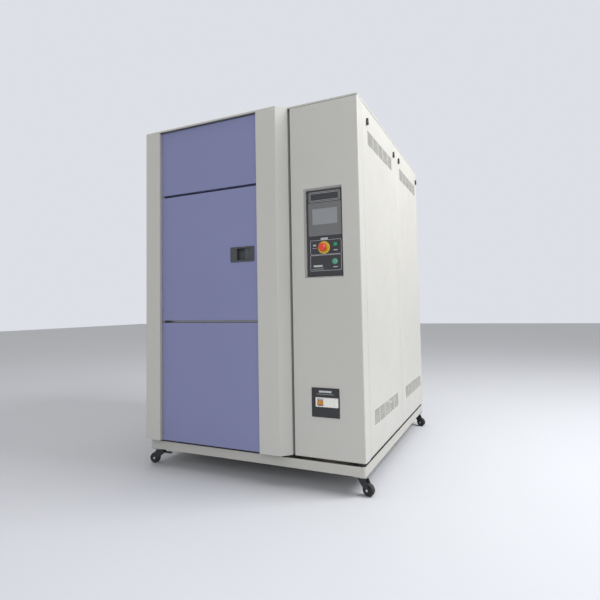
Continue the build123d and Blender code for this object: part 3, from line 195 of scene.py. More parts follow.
# Half width, half height, corner, depth and edge of a tooth
TOOTH = (0.0035, 0.0007, 0.0003, 0.026, 0.0003)
TOOTH_PITCH = 0.012
TOOTH_START = 0.008  # duct's left end to the first tooth
TOOTH_END = 0.004  # no tooth is nearer to its right end
TOOTH_SIDE = 0.0165  # duct's middle to a row of teeth
TOOTH_FRONT = 0.003  # plate to the back of a tooth
WIRE_COUNT = 12
WIRE_START = 0.012  # duct's left end to the first wire
WIRE_PITCH = 0.019
WIRE_BEND = 0.012
# Radius of a run's wires, then each point's sideways shift, distance from the plate and height
WIRE_RUNS = (
    (0.0016, ((0.0, 0.06, 1.075), (0.0, 0.088, 1.095), (0.004, 0.03, 1.118))),
    (0.0016, ((0.0, 0.06, 1.006), (0.0, 0.086, 0.986), (-0.003, 0.03, 0.962))),
    (0.0014, ((0.0, 0.04, 0.685), (0.0, 0.056, 0.705), (0.003, 0.03, 0.738))),
)

# Name, place, target, side in metres and power in watts of each square lamp
LAMPS = (
    ("key", (3.7, 0.4, 4.1), (0.5, 0.0, 1.4), 2.2, 262.0),
    ("front", (1.6, -5.6, 3.0), (0.2, -0.4, 0.9), 3.4, 92.0),
    ("left", (-5.0, -2.0, 3.0), (-0.3, 0.0, 1.0), 3.0, 16.0),
)
SKY_STRENGTH = 1.1
SKY_SPREAD = 50  # degrees
SKY_HEIGHT = 6.0
WORLD_STRENGTH = 0.42  # of the world's light, and 1 is what the camera sees of it

# Camera: the first two in pixels of the photograph's frame, and the angles in degrees
FOCAL_LENGTH = 466.093
IMAGE_CENTRE = (293.361, 282.305)
IMAGE_SIZE = 600
SENSOR_WIDTH = 36.0  # in millimetres
CAMERA_ANGLES = (-25.029, 3.131, -1.0012)  # azimuth, rise and roll
CAMERA_PLACE = (1.22636, -2.74192, 0.84899)
CAMERA_REACH = 200.0


# Colours and settings


def srgb(code):
    """Turns a hex colour code in sRGB into linear red, green, blue and alpha."""
    values = [int(code[i : i + 2], 16) / 255 for i in (1, 3, 5)]
    return tuple(v / 12.92 if v <= 0.04045 else ((v + 0.055) / 1.055) ** 2.4 for v in values) + (
        1.0,
    )


def colour_property(name, code, description):
    """A colour setting, stored linear, from a hex code."""
    return FloatVectorProperty(
        name=name,
        description=description,
        subtype="COLOR",
        size=4,
        min=0.0,
        max=1.0,
        default=srgb(code),
    )


def length_property(name, value, description):
    """A length setting in metres."""
    return FloatProperty(
        name=name, description=description, default=value, unit="LENGTH", precision=4, min=0.0
    )


class ChamberColours(bpy.types.PropertyGroup):
    body: colour_property("Body", "#BFBEB9", "Powder coat of the cabinet")
    fronts: colour_property("Fronts", "#7F83AA", "Powder coat of the three bay fronts")
    plinth: colour_property("Plinth", "#B9B8B2", "Powder coat of the base")
    handle: colour_property("Handle", "#45474B", "Moulded plastic of the door handle")
    plate: colour_property("Control plate", "#37383C", "Satin plate behind the controls")
    screen_frame: colour_property("Screen frame", "#6C6D6E", "Moulded frame of the touch screen")
    screen: colour_property("Screen", "#8F9396", "Switched-off display")
    ring: colour_property("Stop ring", "#DDB63C", "Plate under the emergency stop")
    stop: colour_property("Stop head", "#D9482B", "Mushroom head of the emergency stop")
    start: colour_property("Start button", "#1F8F5C", "Green push button")
    lamp: colour_property("Lamp button", "#57977F", "Translucent lens of the lamp button")
    breaker: colour_property("Breaker", "#E9E8E4", "Moulded case of the main breaker")
    lever: colour_property("Breaker lever", "#C98A3A", "Lever of the main breaker")
    print: colour_property("Panel print", "#B9BCC0", "Printed outlines on the control plate")


class ChamberSizes(bpy.types.PropertyGroup):
    peel: length_property("Orange peel", 0.006, "Width of a wave in the powder coat")
    grain: length_property("Plastic grain", 0.0012, "Width of a grain in moulded plastic")
    brushing: length_property("Brushing", 0.0009, "Rough spacing of the lines in brushed steel")
    spangle: length_property("Spangle", 0.012, "Width of a zinc crystal on galvanised steel")
    foam_cell: length_property("Foam cell", 0.003, "Width of a cell in the insulation")
    print_width: length_property("Print line", 0.0016, "Width of a printed line")
    print_height: length_property("Print height", 0.0003, "Thickness of a printed line")
    turned_steps: IntProperty(
        name="Turned steps", description="Segments round a turned piece", default=64, min=12
    )
    floor_size: length_property("Floor", 40.0, "Side of the floor")


def colours():
    """The colour settings of the scene."""
    return bpy.context.scene.chamber_colours


def sizes():
    """The size settings of the scene."""
    return bpy.context.scene.chamber_sizes


# Materials


def add_node(tree, kind, inputs=None, **settings):
    """Adds one node, sets its own settings, and fills its inputs with values or with links."""
    node = tree.nodes.new(kind)
    for name, value in settings.items():
        setattr(node, name, value)
    for key, value in (inputs or {}).items():
        if isinstance(value, bpy.types.NodeSocket):
            tree.links.new(value, node.inputs[key])
        else:
            node.inputs[key].default_value = value
    return node


def new_material(name):
    """An empty node material with its output and surface shader."""
    material = bpy.data.materials.new(name)
    material.use_nodes = True
    tree = material.node_tree
    tree.nodes.clear()
    output = add_node(tree, "ShaderNodeOutputMaterial")
    shader = add_node(tree, "ShaderNodeBsdfPrincipled")
    tree.links.new(shader.outputs["BSDF"], output.inputs["Surface"])
    coords = add_node(tree, "ShaderNodeTexCoord")
    return material, tree, shader, coords.outputs["Object"]


def set_shader(shader, values):
    """Sets the shader's own sockets by name."""
    for name, value in values.items():
        shader.inputs[name].default_value = value


def shade(colour, factor):
    """A colour made lighter or darker by a factor."""
    return tuple(min(1.0, c * factor) for c in colour[:3]) + (1.0,)


def toned(tree, shader, value, dark, light, start=0.0, end=1.0):
    """Runs the base colour from dark to light as a pattern's value goes from start to end."""
    ramp = add_node(tree, "ShaderNodeValToRGB", {"Fac": value})
    for element, place, tone in zip(ramp.color_ramp.elements, (start, end), (dark, light)):
        element.position = place
        element.color = tone
    tree.links.new(ramp.outputs["Color"], shader.inputs["Base Color"])


def tinted(tree, shader, coords, colour, scale, spread, detail=3.0):
    """Varies the base colour softly: noise of a given scale mixes a darker and a lighter tone."""
    noise = add_node(
        tree,
        "ShaderNodeTexNoise",
        {"Vector": coords, "Scale": scale, "Detail": detail, "Roughness": 0.55},
    )
    dark, light = shade(colour, 1.0 - spread), shade(colour, 1.0 + spread)
    toned(tree, shader, noise.outputs["Fac"], dark, light, start=0.3, end=0.7)


def roughened(tree, shader, value, low, high, start=0.3, end=0.7):
    """Runs the roughness from low to high as a pattern's value goes from start to end."""
    spread = add_node(
        tree,
        "ShaderNodeMapRange",
        {"Value": value, "From Min": start, "From Max": end, "To Min": low, "To Max": high},
    )
    tree.links.new(spread.outputs["Result"], shader.inputs["Roughness"])


def rough(tree, shader, coords, low, high, scale):
    """Varies the roughness between two values with a noise of a given scale."""
    noise = add_node(
        tree, "ShaderNodeTexNoise", {"Vector": coords, "Scale": scale, "Detail": 4.0}
    )
    roughened(tree, shader, noise.outputs["Fac"], low, high)
    return noise


def bumped(tree, shader, height, strength, distance):
    """Tips the shading by a height pattern."""
    bump = add_node(
        tree, "ShaderNodeBump", {"Height": height, "Strength": strength, "Distance": distance}
    )
    tree.links.new(bump.outputs["Normal"], shader.inputs["Normal"])


def powder_coat(name, colour, spread=0.018):
    """Polyester powder coat on sheet steel, sprayed and baked: a satin skin with a faint peel.

    The real peel is about 2 mm across, too fine to show, so it is drawn about 6 mm across.
    Broad soft tones give the unevenness of large sprayed sheets, and a finer one the handling
    marks in the gloss.
    """
    material, tree, shader, coords = new_material(name)
    tinted(tree, shader, coords, colour, scale=1.7, spread=spread)
    rough(tree, shader, coords, low=0.36, high=0.50, scale=9.0)
    peel = add_node(
        tree,
        "ShaderNodeTexNoise",
        {"Vector": coords, "Scale": 1.0 / sizes().peel, "Detail": 1.5, "Roughness": 0.4},
    )
    bumped(tree, shader, peel.outputs["Fac"], strength=0.10, distance=0.0004)
    set_shader(shader, {"IOR": 1.5})
    return material


def moulded_plastic(name, colour, gloss=0.45, spread=0.03):
    """Injection-moulded ABS or polyamide: a fine spark-eroded grain that breaks the highlight.

    The grain of about 0.5 mm is drawn about 1.2 mm wide, so that it can be seen.
    """
    material, tree, shader, coords = new_material(name)
    tinted(tree, shader, coords, colour, scale=24.0, spread=spread)
    rough(tree, shader, coords, low=gloss - 0.06, high=gloss + 0.08, scale=60.0)
    grain = add_node(
        tree, "ShaderNodeTexVoronoi", {"Vector": coords, "Scale": 1.0 / sizes().grain}
    )
    bumped(tree, shader, grain.outputs["Distance"], strength=0.16, distance=0.00025)
    set_shader(shader, {"IOR": 1.53})
    return material


def glossy_plastic(name, colour, glow=0.0, gloss=0.2):
    """Polished moulded plastic, such as a button cap: smooth, with light flow marks, and with a
    painted glow where glow is given.
    """
    material, tree, shader, coords = new_material(name)
    tinted(tree, shader, coords, colour, scale=60.0, spread=0.05)
    flow = rough(tree, shader, coords, low=gloss, high=gloss + 0.12, scale=140.0)
    bumped(tree, shader, flow.outputs["Fac"], strength=0.05, distance=0.0002)
    set_shader(shader, {"IOR": 1.49, "Coat Weight": 0.3, "Coat Roughness": 0.12})
    # A faint painted glow: emission in the plastic's own colour, though the part holds no lit lamp.
    if glow:
        set_shader(shader, {"Emission Color": colour, "Emission Strength": glow})
    return material


def brushed_steel(name, colour, lines=(1.0, 1.0, 60.0), low=0.24, high=0.42):
    """Brushed stainless steel: long fine scratches along one way stretch the highlight.

    A scratch is 50 times as long as the brushing size, and the 60 in lines makes it that much
    finer across. Three equal values give a plated surface without a direction.
    """
    material, tree, shader, coords = new_material(name)
    mapping = add_node(tree, "ShaderNodeMapping", {"Vector": coords, "Scale": lines})
    brush = add_node(
        tree,
        "ShaderNodeTexNoise",
        {
            "Vector": mapping.outputs["Vector"],
            "Scale": 0.02 / sizes().brushing,
            "Detail": 6.0,
            "Roughness": 0.7,
        },
    )
    pattern = brush.outputs["Fac"]
    toned(tree, shader, pattern, shade(colour, 0.86), shade(colour, 1.06), start=0.25, end=0.75)
    roughened(tree, shader, pattern, low, high)
    bumped(tree, shader, pattern, strength=0.08, distance=0.0002)
    set_shader(shader, {"Metallic": 1.0})
    return material


def galvanised_steel(name, colour):
    """Hot-dipped galvanised steel: grey crystals about a centimetre wide, each of its own tone."""
    material, tree, shader, coords = new_material(name)
    crystal = add_node(
        tree, "ShaderNodeTexVoronoi", {"Vector": coords, "Scale": 1.0 / sizes().spangle}
    )
    value = add_node(tree, "ShaderNodeRGBToBW", {"Color": crystal.outputs["Color"]})
    pattern = value.outputs["Val"]
    toned(tree, shader, pattern, shade(colour, 0.92), shade(colour, 1.05))
    roughened(tree, shader, pattern, low=0.34, high=0.55, start=0.0, end=1.0)
    bumped(tree, shader, crystal.outputs["Distance"], strength=0.05, distance=0.0002)
    set_shader(shader, {"Metallic": 0.9})
    return material


def rubber(name, colour, scale=420.0, gloss=0.72):
    """Moulded rubber or silicone: dull, with a fine pitted skin and dusty patches."""
    material, tree, shader, coords = new_material(name)
    tinted(tree, shader, coords, colour, scale=40.0, spread=0.14, detail=5.0)
    rough(tree, shader, coords, low=gloss - 0.08, high=gloss + 0.12, scale=90.0)
    skin = add_node(
        tree, "ShaderNodeTexNoise", {"Vector": coords, "Scale": scale, "Detail": 3.0}
    )
    bumped(tree, shader, skin.outputs["Fac"], strength=0.2, distance=0.0004)
    set_shader(shader, {"IOR": 1.52})
    return material


def insulation_foam(name, colour):
    """Rigid polyurethane foam behind its skin: cells 3 mm wide with soft walls."""
    material, tree, shader, coords = new_material(name)
    tinted(tree, shader, coords, colour, scale=14.0, spread=0.06, detail=5.0)
    cells = add_node(
        tree, "ShaderNodeTexVoronoi", {"Vector": coords, "Scale": 1.0 / sizes().foam_cell}
    )
    bumped(tree, shader, cells.outputs["Distance"], strength=0.5, distance=0.001)
    set_shader(shader, {"Roughness": 0.9, "IOR": 1.45})
    return material


def black_enamel(name, colour):
    """Dark stoving enamel on cast and pressed steel: glossy with a slight waviness."""
    material, tree, shader, coords = new_material(name)
    tinted(tree, shader, coords, colour, scale=30.0, spread=0.2, detail=4.0)
    rough(tree, shader, coords, low=0.28, high=0.5, scale=45.0)
    wave = add_node(
        tree, "ShaderNodeTexNoise", {"Vector": coords, "Scale": 160.0, "Detail": 2.0}
    )
    bumped(tree, shader, wave.outputs["Fac"], strength=0.12, distance=0.0005)
    set_shader(shader, {"IOR": 1.5})
    return material


def display_film(name, colour):
    """Matt film over a switched-off liquid crystal display, with a faint square grid.

    Real pixels are too fine to show, so the lines of the grid are drawn 3.5 mm apart.
    """
    material, tree, shader, coords = new_material(name)
    columns, rows = (
        add_node(
            tree,
            "ShaderNodeTexWave",
            {"Vector": coords, "Scale": 90.0, "Distortion": 0.0},
            bands_direction=direction,
        )
        for direction in ("X", "Z")
    )
    grid = add_node(
        tree,
        "ShaderNodeMath",
        {0: columns.outputs["Fac"], 1: rows.outputs["Fac"]},
        operation="MULTIPLY",
    )
    cloud = add_node(
        tree, "ShaderNodeTexNoise", {"Vector": coords, "Scale": 12.0, "Detail": 2.0}
    )
    both = add_node(
        tree,
        "ShaderNodeMath",
        {0: cloud.outputs["Fac"], 1: grid.outputs["Value"], 2: 0.35},
        operation="MULTIPLY_ADD",
    )
    dark, light = shade(colour, 0.95), shade(colour, 1.05)
    toned(tree, shader, both.outputs["Value"], dark, light, start=0.3, end=0.9)
    bumped(tree, shader, grid.outputs["Value"], strength=0.03, distance=0.0001)
    set_shader(shader, {"Roughness": 0.28, "Coat Weight": 0.5, "Coat Roughness": 0.18})
    return material


def finned_coil(name, colour):
    """Aluminium fins: upright stripes 6 mm apart, with painted shade in the gaps between them.

    Real fins stand about 3 mm apart, and are drawn twice as coarse.
    """
    material, tree, shader, coords = new_material(name)
    fins = add_node(
        tree,
        "ShaderNodeTexWave",
        {"Vector": coords, "Scale": 52.0, "Distortion": 0.3, "Detail": 2.0},
        bands_direction="X",
    )
    # The ramp's dark end is painted shade: the gaps between the fins drawn at 35 % of the metal's
    # tone.
    toned(tree, shader, fins.outputs["Fac"], shade(colour, 0.35), colour)
    bumped(tree, shader, fins.outputs["Fac"], strength=0.5, distance=0.0015)
    set_shader(shader, {"Metallic": 0.9, "Roughness": 0.42})
    return material


def make_materials():
    """One material for each finish, by name."""
    c = colours()
    return {
        "grey_paint": powder_coat("powder_coat_warm_grey", tuple(c.body)),
        "blue_paint": powder_coat("powder_coat_blue_violet", tuple(c.fronts), spread=0.022),
        "plinth": powder_coat("powder_coat_base_grey", tuple(c.plinth)),
        "control_black": powder_coat("satin_black_aluminium_plate", tuple(c.plate), spread=0.05),
        "handle_grey": moulded_plastic(
            "moulded_abs_dark_grey", tuple(c.handle), gloss=0.46, spread=0.05
        ),
        "screen_grey": moulded_plastic(
            "moulded_abs_screen_grey", tuple(c.screen_frame), gloss=0.4
        ),
        "grey_plastic": moulded_plastic("moulded_polyamide_grey", srgb("#6F7275"), gloss=0.5),
        "white_plastic": moulded_plastic(
            "moulded_polyamide_white", tuple(c.breaker), gloss=0.38, spread=0.02
        ),
        "black_plastic": moulded_plastic(
            "moulded_abs_black", srgb("#2B2C2F"), gloss=0.42, spread=0.08
        ),
        "yellow_plastic": glossy_plastic("polished_plastic_yellow", tuple(c.ring)),
        # The glow values give the stop head, the start button, the lamp lens and the lever a faint
        # painted glow.
        "red_plastic": glossy_plastic("polished_plastic_red", tuple(c.stop), glow=0.04),
        "green_plastic": glossy_plastic("polished_plastic_green", tuple(c.start), glow=0.08),
        "lamp_green": glossy_plastic("lamp_lens_pale_green", tuple(c.lamp), glow=0.12),
        "amber_plastic": glossy_plastic("polished_plastic_amber", tuple(c.lever), glow=0.05),
        "print": glossy_plastic("screen_printed_ink_pale", tuple(c.print), gloss=0.45),
        "display": display_film("display_film_grey", tuple(c.screen)),
        "zinc": galvanised_steel("galvanised_steel", srgb("#A4A8AB")),
        "stainless": brushed_steel("brushed_stainless_steel", srgb("#C9CBCC")),
        "bright_steel": brushed_steel(
            "bright_zinc_plated_steel", srgb("#D3D4D2"), (40.0, 40.0, 40.0), low=0.18, high=0.34
        ),
        # The fins carry painted shade in the gaps between them.
        "fins": finned_coil("aluminium_fins_with_painted_gap_shade", srgb("#C4C7C9")),
        "foam": insulation_foam("polyurethane_foam_cream", srgb("#D9CFA6")),
        "silicone": rubber("moulded_silicone_grey", srgb("#8E8F8D"), scale=500.0, gloss=0.6),
        "tread": rubber("moulded_rubber_black", srgb("#2A2B2C")),
        "motor": black_enamel("stoved_enamel_blue_grey", srgb("#44525F")),
        "black_paint": black_enamel("stoved_enamel_black", srgb("#26272A")),
    }


MATERIALS = {}


# Mesh surfaces


def grid_faces(rows, columns, closed_rows=False):
    """Quads between neighbouring points of a grid, as corner numbers.

    Each row closes on itself, and closed_rows joins the last row to the first as well.
    """
    i = np.arange(rows if closed_rows else rows - 1)[:, None]
    j = np.arange(columns)[None, :]
    i2, j2 = (i + 1) % rows, (j + 1) % columns
    quads = np.stack(
        [i * columns + j, i * columns + j2, i2 * columns + j2, i2 * columns + j], axis=-1
    )
    return quads.reshape(-1, 4)


def make_piece(name, points, faces, material, body, slot, replaces=(), smooth=True):
    """Puts arrays of points and faces into one mesh, at the origin, that rides on a body."""
    mesh = bpy.data.meshes.new(name)
    mesh.from_pydata(np.asarray(points, float).tolist(), [], [list(map(int, f)) for f in faces])
    mesh.polygons.foreach_set("use_smooth", np.full(len(mesh.polygons), smooth))
    mesh.materials.append(MATERIALS[material])
    mesh.validate()
    mesh.update()
    piece = bpy.data.objects.new(name, mesh)
    bpy.context.scene.collection.objects.link(piece)
    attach(piece, body)
    if replaces:
        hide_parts(*replaces)
    return piece


def joined(parts):
    """Several (points, faces) pairs as one pair."""
    points, faces, start = [], [], 0
    for part_points, part_faces in parts:
        points.append(np.asarray(part_points, float).reshape(-1, 3))
        faces.extend([[int(i) + start for i in face] for face in part_faces])
        start += len(points[-1])
    return np.concatenate(points), faces


def placed(points, origin, x_axis, z_axis):
    """Turns local points so that local Z lies along z_axis, and moves them to the origin point.

    Each point becomes origin + x * X + y * (Z cross X) + z * Z, with unit axes.
    """
    z = np.asarray(z_axis, float) / np.linalg.norm(z_axis)
    x = np.asarray(x_axis, float) - z * np.dot(x_axis, z)
    x = x / np.linalg.norm(x)
    y = np.cross(z, x)
    return np.asarray(origin) + np.asarray(points) @ np.stack([x, y, z])


def swept(profile, steps):
    """Points of (radius, height) pairs swept round Z: (r(u) cos v, r(u) sin v, h(u))."""
    v = np.linspace(0, 2 * math.pi, steps, endpoint=False)
    ring = np.stack([np.cos(v), np.sin(v)], axis=-1)
    heights = np.broadcast_to(profile[:, None, 1:], (len(profile), steps, 1))
    return np.concatenate([profile[:, None, :1] * ring[None], heights], axis=-1).reshape(-1, 3)


def turned(profile, steps):
    """A closed turned shape: the profile's (radius, height) pairs are swept round Z.

    The profile's two ends lie on the axis, where the ring shrinks to one point.
    """
    profile = np.asarray(profile, float)
    inner = profile[1:-1]
    body = swept(inner, steps)
    points = np.concatenate([body, [[0, 0, profile[0, 1]], [0, 0, profile[-1, 1]]]])
    faces = grid_faces(len(inner), steps).tolist()
    low, high = len(body), len(body) + 1
    last = (len(inner) - 1) * steps
    k = np.arange(steps)
    faces += np.stack([np.full(steps, low), (k + 1) % steps, k], axis=-1).tolist()
    faces += np.stack([np.full(steps, high), last + k, last + (k + 1) % steps], axis=-1).tolist()
    return points, faces


def turned_ring(profile, steps):
    """A turned ring: a closed profile of (radius, height) pairs swept round Z."""
    points = swept(np.asarray(profile, float), steps)
    return points, grid_faces(len(profile), steps, closed_rows=True).tolist()


def rounded_outline(half_x, half_y, radius, corner_steps=8):
    """A rectangle with round corners: four quarter circles joined by straight sides."""
    angles = np.linspace(0, math.pi / 2, corner_steps)
    quarter = np.stack([np.cos(angles), np.sin(angles)], axis=-1) * radius
    outline = []
    for k, (sx, sy) in enumerate(((1, 1), (-1, 1), (-1, -1), (1, -1))):
        c, s = math.cos(k * math.pi / 2), math.sin(k * math.pi / 2)
        turn = np.array([[c, s], [-s, c]])
        outline.append(quarter @ turn + np.array([sx * (half_x - radius), sy * (half_y - radius)]))
    return np.concatenate(outline)


def levelled(outlines, heights):
    """Flat outlines with equal counts, each lifted to its height, as one array of points."""
    return np.concatenate(
        [np.insert(outline, 2, height, axis=1) for outline, height in zip(outlines, heights)]
    )


def slab(half_x, half_y, radius, height, edge):
    """A flat plate with round corners and a rounded upper edge of radius edge, capped flat.

    Near the top each outline is inset by edge * (1 - cos t) at height edge * sin t.
    """
    t = np.linspace(0, math.pi / 2, 5)
    insets = edge * (1 - np.cos(t))
    rises = height - edge + edge * np.sin(t)
    outlines = [rounded_outline(half_x, half_y, radius)]
    outlines += [
        rounded_outline(half_x - i, half_y - i, max(radius - i, 0.0002)) for i in insets
    ]
    count = len(outlines[0])
    k = np.arange(count)
    faces = grid_faces(len(outlines), count).tolist()
    faces.append(k[::-1].tolist())
    faces.append(((len(outlines) - 1) * count + k).tolist())
    return levelled(outlines, [0.0, *rises]), faces


def flat_frame(outer, inner, height):
    """A flat frame between two outlines: outer and inner edge, low and high, joined up."""
    points = levelled([outer, outer, inner, inner], [0.0, height, height, 0.0])
    return points, grid_faces(4, len(outer), closed_rows=True).tolist()


def tube(path, radius, steps=10, closed=False):
    """A round tube along a path: circles square to the path's direction, joined up.

    Each circle is radius * (cos v * N + sin v * B), with N and B at right angles to the path.
    """
    path = np.asarray(path, float)
    ahead = np.roll(path, -1, axis=0) - path
    behind = path - np.roll(path, 1, axis=0)
    if not closed:
        ahead[-1], behind[0] = behind[-1], ahead[0]
    along = ahead / np.linalg.norm(ahead, axis=1)[:, None]
    along = along + behind / np.linalg.norm(behind, axis=1)[:, None]
    along = along / np.linalg.norm(along, axis=1)[:, None]
    guide = np.array([0.0, 0.0, 1.0]) if abs(along[0][2]) < 0.9 else np.array([1.0, 0.0, 0.0])
    normal = guide - along * (along @ guide)[:, None]
    short = np.linalg.norm(normal, axis=1) < 1e-3
    normal[short] = [1.0, 0.0, 0.0]
    normal = normal / np.linalg.norm(normal, axis=1)[:, None]
    across = np.cross(along, normal)
    v = np.linspace(0, 2 * math.pi, steps, endpoint=False)
    points = path[:, None] + radius * (
        np.cos(v)[None, :, None] * normal[:, None] + np.sin(v)[None, :, None] * across[:, None]
    )
    faces = grid_faces(len(path), steps, closed_rows=closed).tolist()
    if not closed:
        k = np.arange(steps)
        faces.append(k[::-1].tolist())
        faces.append(((len(path) - 1) * steps + k).tolist())
    return points.reshape(-1, 3), faces


def bent(points, radius, steps=6):
    """A path with round bends: each inner corner becomes a quadratic curve of a set reach."""
    points = np.asarray(points, float)
    path = [points[0]]
    for before, corner, after in zip(points[:-2], points[1:-1], points[2:]):
        u, w = before - corner, after - corner
        reach = min(radius, np.linalg.norm(u) / 2, np.linalg.norm(w) / 2)
        start = corner + u / np.linalg.norm(u) * reach
        end = corner + w / np.linalg.norm(w) * reach
        t = np.linspace(0, 1, steps)[:, None]
        path.extend((1 - t) ** 2 * start + 2 * t * (1 - t) * corner + t**2 * end)
    path.append(points[-1])
    return np.array(path)


# Operators


class CHAMBER_OT_finishes(bpy.types.Operator):
    """Gives every CAD node the material of its finish and smooths its round faces"""

    bl_idname = "chamber.finishes"
    bl_label = "Finishes"

    def execute(self, context):
        MATERIALS.update(make_materials())
        for name, piece in NODES.items():
            piece.data.materials.clear()
            piece.data.materials.append(MATERIALS[FINISHES[name]])
            piece.data.polygons.foreach_set(
                "use_smooth", np.full(len(piece.data.polygons), True)
            )
            weld = piece.modifiers.new("weld", "WELD")
            weld.merge_threshold = MERGE_DISTANCE
            split = piece.modifiers.new("edge_split", "EDGE_SPLIT")
            split.split_angle = math.radians(SHARP_ANGLE)
        return {"FINISHED"}


class CHAMBER_OT_controls(bpy.types.Operator):
    """Makes the emergency stop, the push buttons and the print on the control plate"""

    bl_idname = "chamber.controls"
    bl_label = "Controls"

    def execute(self, context):
        self.turned_cap("estop_head", self.stop_profile, "red_plastic", "estop_button")
        for node, finish in (("start_button", "green_plastic"), ("power_button", "lamp_green")):
            self.turned_cap(node + "_cap", self.button_profile, finish, node)
        self.print_outlines()
        low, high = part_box("control_plate")
        self.labels("control_label_patches", LABEL_PATCHES, LABEL_CORNER, low[1], "control_black")
        low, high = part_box("breaker_bezel")
        middle = (low[0] + high[0]) / 2
        patches = [(middle, high[2] - drop, wide, tall) for drop, wide, tall in BREAKER_LABELS]
        face = low[1] + BREAKER_LABEL_SINK
        self.labels("breaker_label_patches", patches, BREAKER_LABEL_CORNER, face, "black_plastic")
        return {"FINISHED"}

    def stop_profile(self, r, depth):
        """A mushroom head on a stem: an undercut skirt, a shoulder and an elliptic dome."""
        t = np.linspace(STOP_CROWN_START, math.pi / 2, 9)
        rises = depth - STOP_CROWN + STOP_CROWN * np.sin(t)
        crown = np.stack([STOP_CROWN_SHARE * r * np.cos(t), rises], axis=-1)
        stem = [(0, 0), (STOP_STEM, 0), (STOP_STEM, depth - STOP_HEAD)]
        skirt = [(r - inset, depth - drop) for inset, drop in STOP_SKIRT]
        shoulder = [(STOP_SHOULDER[0] * r, depth - STOP_SHOULDER[1])]
        return stem + skirt + shoulder + crown[:-1].tolist() + [(0, depth)]

    def button_profile(self, r, depth):
        """A bevelled rim round a groove, with an elliptic lens that rises inside it."""
        t = np.linspace(0, math.pi / 2, 7)
        rises = depth - LENS_EDGE + LENS_RISE * np.sin(t)
        lens = np.stack([LENS_SHARE * r * np.cos(t), rises], axis=-1)
        stem = [(0, 0), (CAP_STEM_SHARE * r, 0), (CAP_STEM_SHARE * r, depth - CAP_HEIGHT)]
        side = [(r, depth - CAP_HEIGHT), (r, depth - CAP_BEVEL), (r - CAP_EDGE, depth - CAP_EDGE)]
        rim = [(r - CAP_BEVEL, depth), (RIM_SHARE * r, depth), (GROOVE_SHARE * r, depth - LENS_TOP)]
        return stem + side + rim + lens[:-1].tolist() + [(0, depth - LENS_TOP)]

    def turned_cap(self, name, profile, finish, node):
        """A turned piece that faces the front, from the back of a CAD node's box."""
        low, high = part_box(node)
        origin = ((low[0] + high[0]) / 2, high[1], (low[2] + high[2]) / 2)
        outline = profile((high[0] - low[0]) / 2, high[1] - low[1])
        points, faces = turned(outline, sizes().turned_steps)
        make_piece(name, placed(points, origin, *FRONT), faces, finish, node, finish, [node])

    def print_outlines(self):
        """Raised ink on the control plate: outlines with round corners."""
        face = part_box("control_plate")[0][1]
        line, thick = sizes().print_width, sizes().print_height
        inner_corner = max(PRINT_CORNER - line, 0.0003)
        made = []
        for x0, x1, z0, z1 in PRINTED_OUTLINES:
            half_x, half_z = (x1 - x0) / 2, (z1 - z0) / 2
            outer = rounded_outline(half_x, half_z, PRINT_CORNER)
            inner = rounded_outline(half_x - line, half_z - line, inner_corner)
            points, faces = flat_frame(outer, inner, thick)
            middle = ((x0 + x1) / 2, face, (z0 + z1) / 2)
            made.append((placed(points, middle, *FRONT), faces))
        make_piece(
            "control_print_lines", *joined(made), "print", "column_door", "control_black",
            smooth=False,
        )

    def labels(self, name, patches, corner, face, slot):
        """Bare labels of raised ink: thin slabs with round corners, and without text."""
        made = []
        for x, z, wide, tall in patches:
            points, faces = slab(wide / 2, tall / 2, corner, LABEL_HEIGHT, LABEL_EDGE)
            made.append((placed(points, (x, face, z), *FRONT), faces))
        make_piece(name, *joined(made), "print", "column_door", slot, smooth=False)


class CHAMBER_OT_casters(bpy.types.Operator):
    """Makes the four wheels with crowned, grooved treads, side webs and bright hub caps"""

    bl_idname = "chamber.casters"
    bl_label = "Caster wheels"

    def execute(self, context):
        joints = frame["record"]["behaviour"]["joints"]
        axes = {j["child"]: (j["pos_m"], j["axis"]) for j in joints if "pos_m" in j}
        profile = self.wheel_profile()
        cap = [(radius, HUB_FACE + height) for radius, height in HUB_CAP]
        for corner in CORNERS:
            node = corner + "_wheel"
            place, axis = axes[node]
            points, faces = turned_ring(profile, sizes().turned_steps)
            make_piece(
                node + "_tyre", placed(points, place, (0, 0, 1), axis), faces, "tread", node,
                "tread", [node],
            )
            caps = []
            for sign in (1.0, -1.0):
                points, faces = turned(cap, HUB_STEPS)
                outward = [sign * v for v in axis]
                caps.append((placed(points, place, (0, 0, 1), outward), faces))
            make_piece(
                node + "_hub_caps", *joined(caps), "bright_steel", corner + "_fork", "black_paint"
            )
        return {"FINISHED"}

    def wheel_profile(self):
        """A wheel's section: both sides, and a crown that falls with the cube of the way out."""
        t = np.linspace(-1, 1, 15)
        grooves = np.abs(np.abs(t) - GROOVE_PLACE) < GROOVE_HALF
        crown = WHEEL_RADIUS - TREAD_FALL * np.abs(t) ** 3 - GROOVE_DEPTH * grooves
        tread = np.stack([crown, t * (WHEEL_HALF - TREAD_FALL)], axis=-1).tolist()
        near = [(radius, -WHEEL_HALF * level) for radius, level in WHEEL_SIDE]
        far = [(radius, WHEEL_HALF * level) for radius, level in WHEEL_SIDE[::-1]]
        return near + tread + far


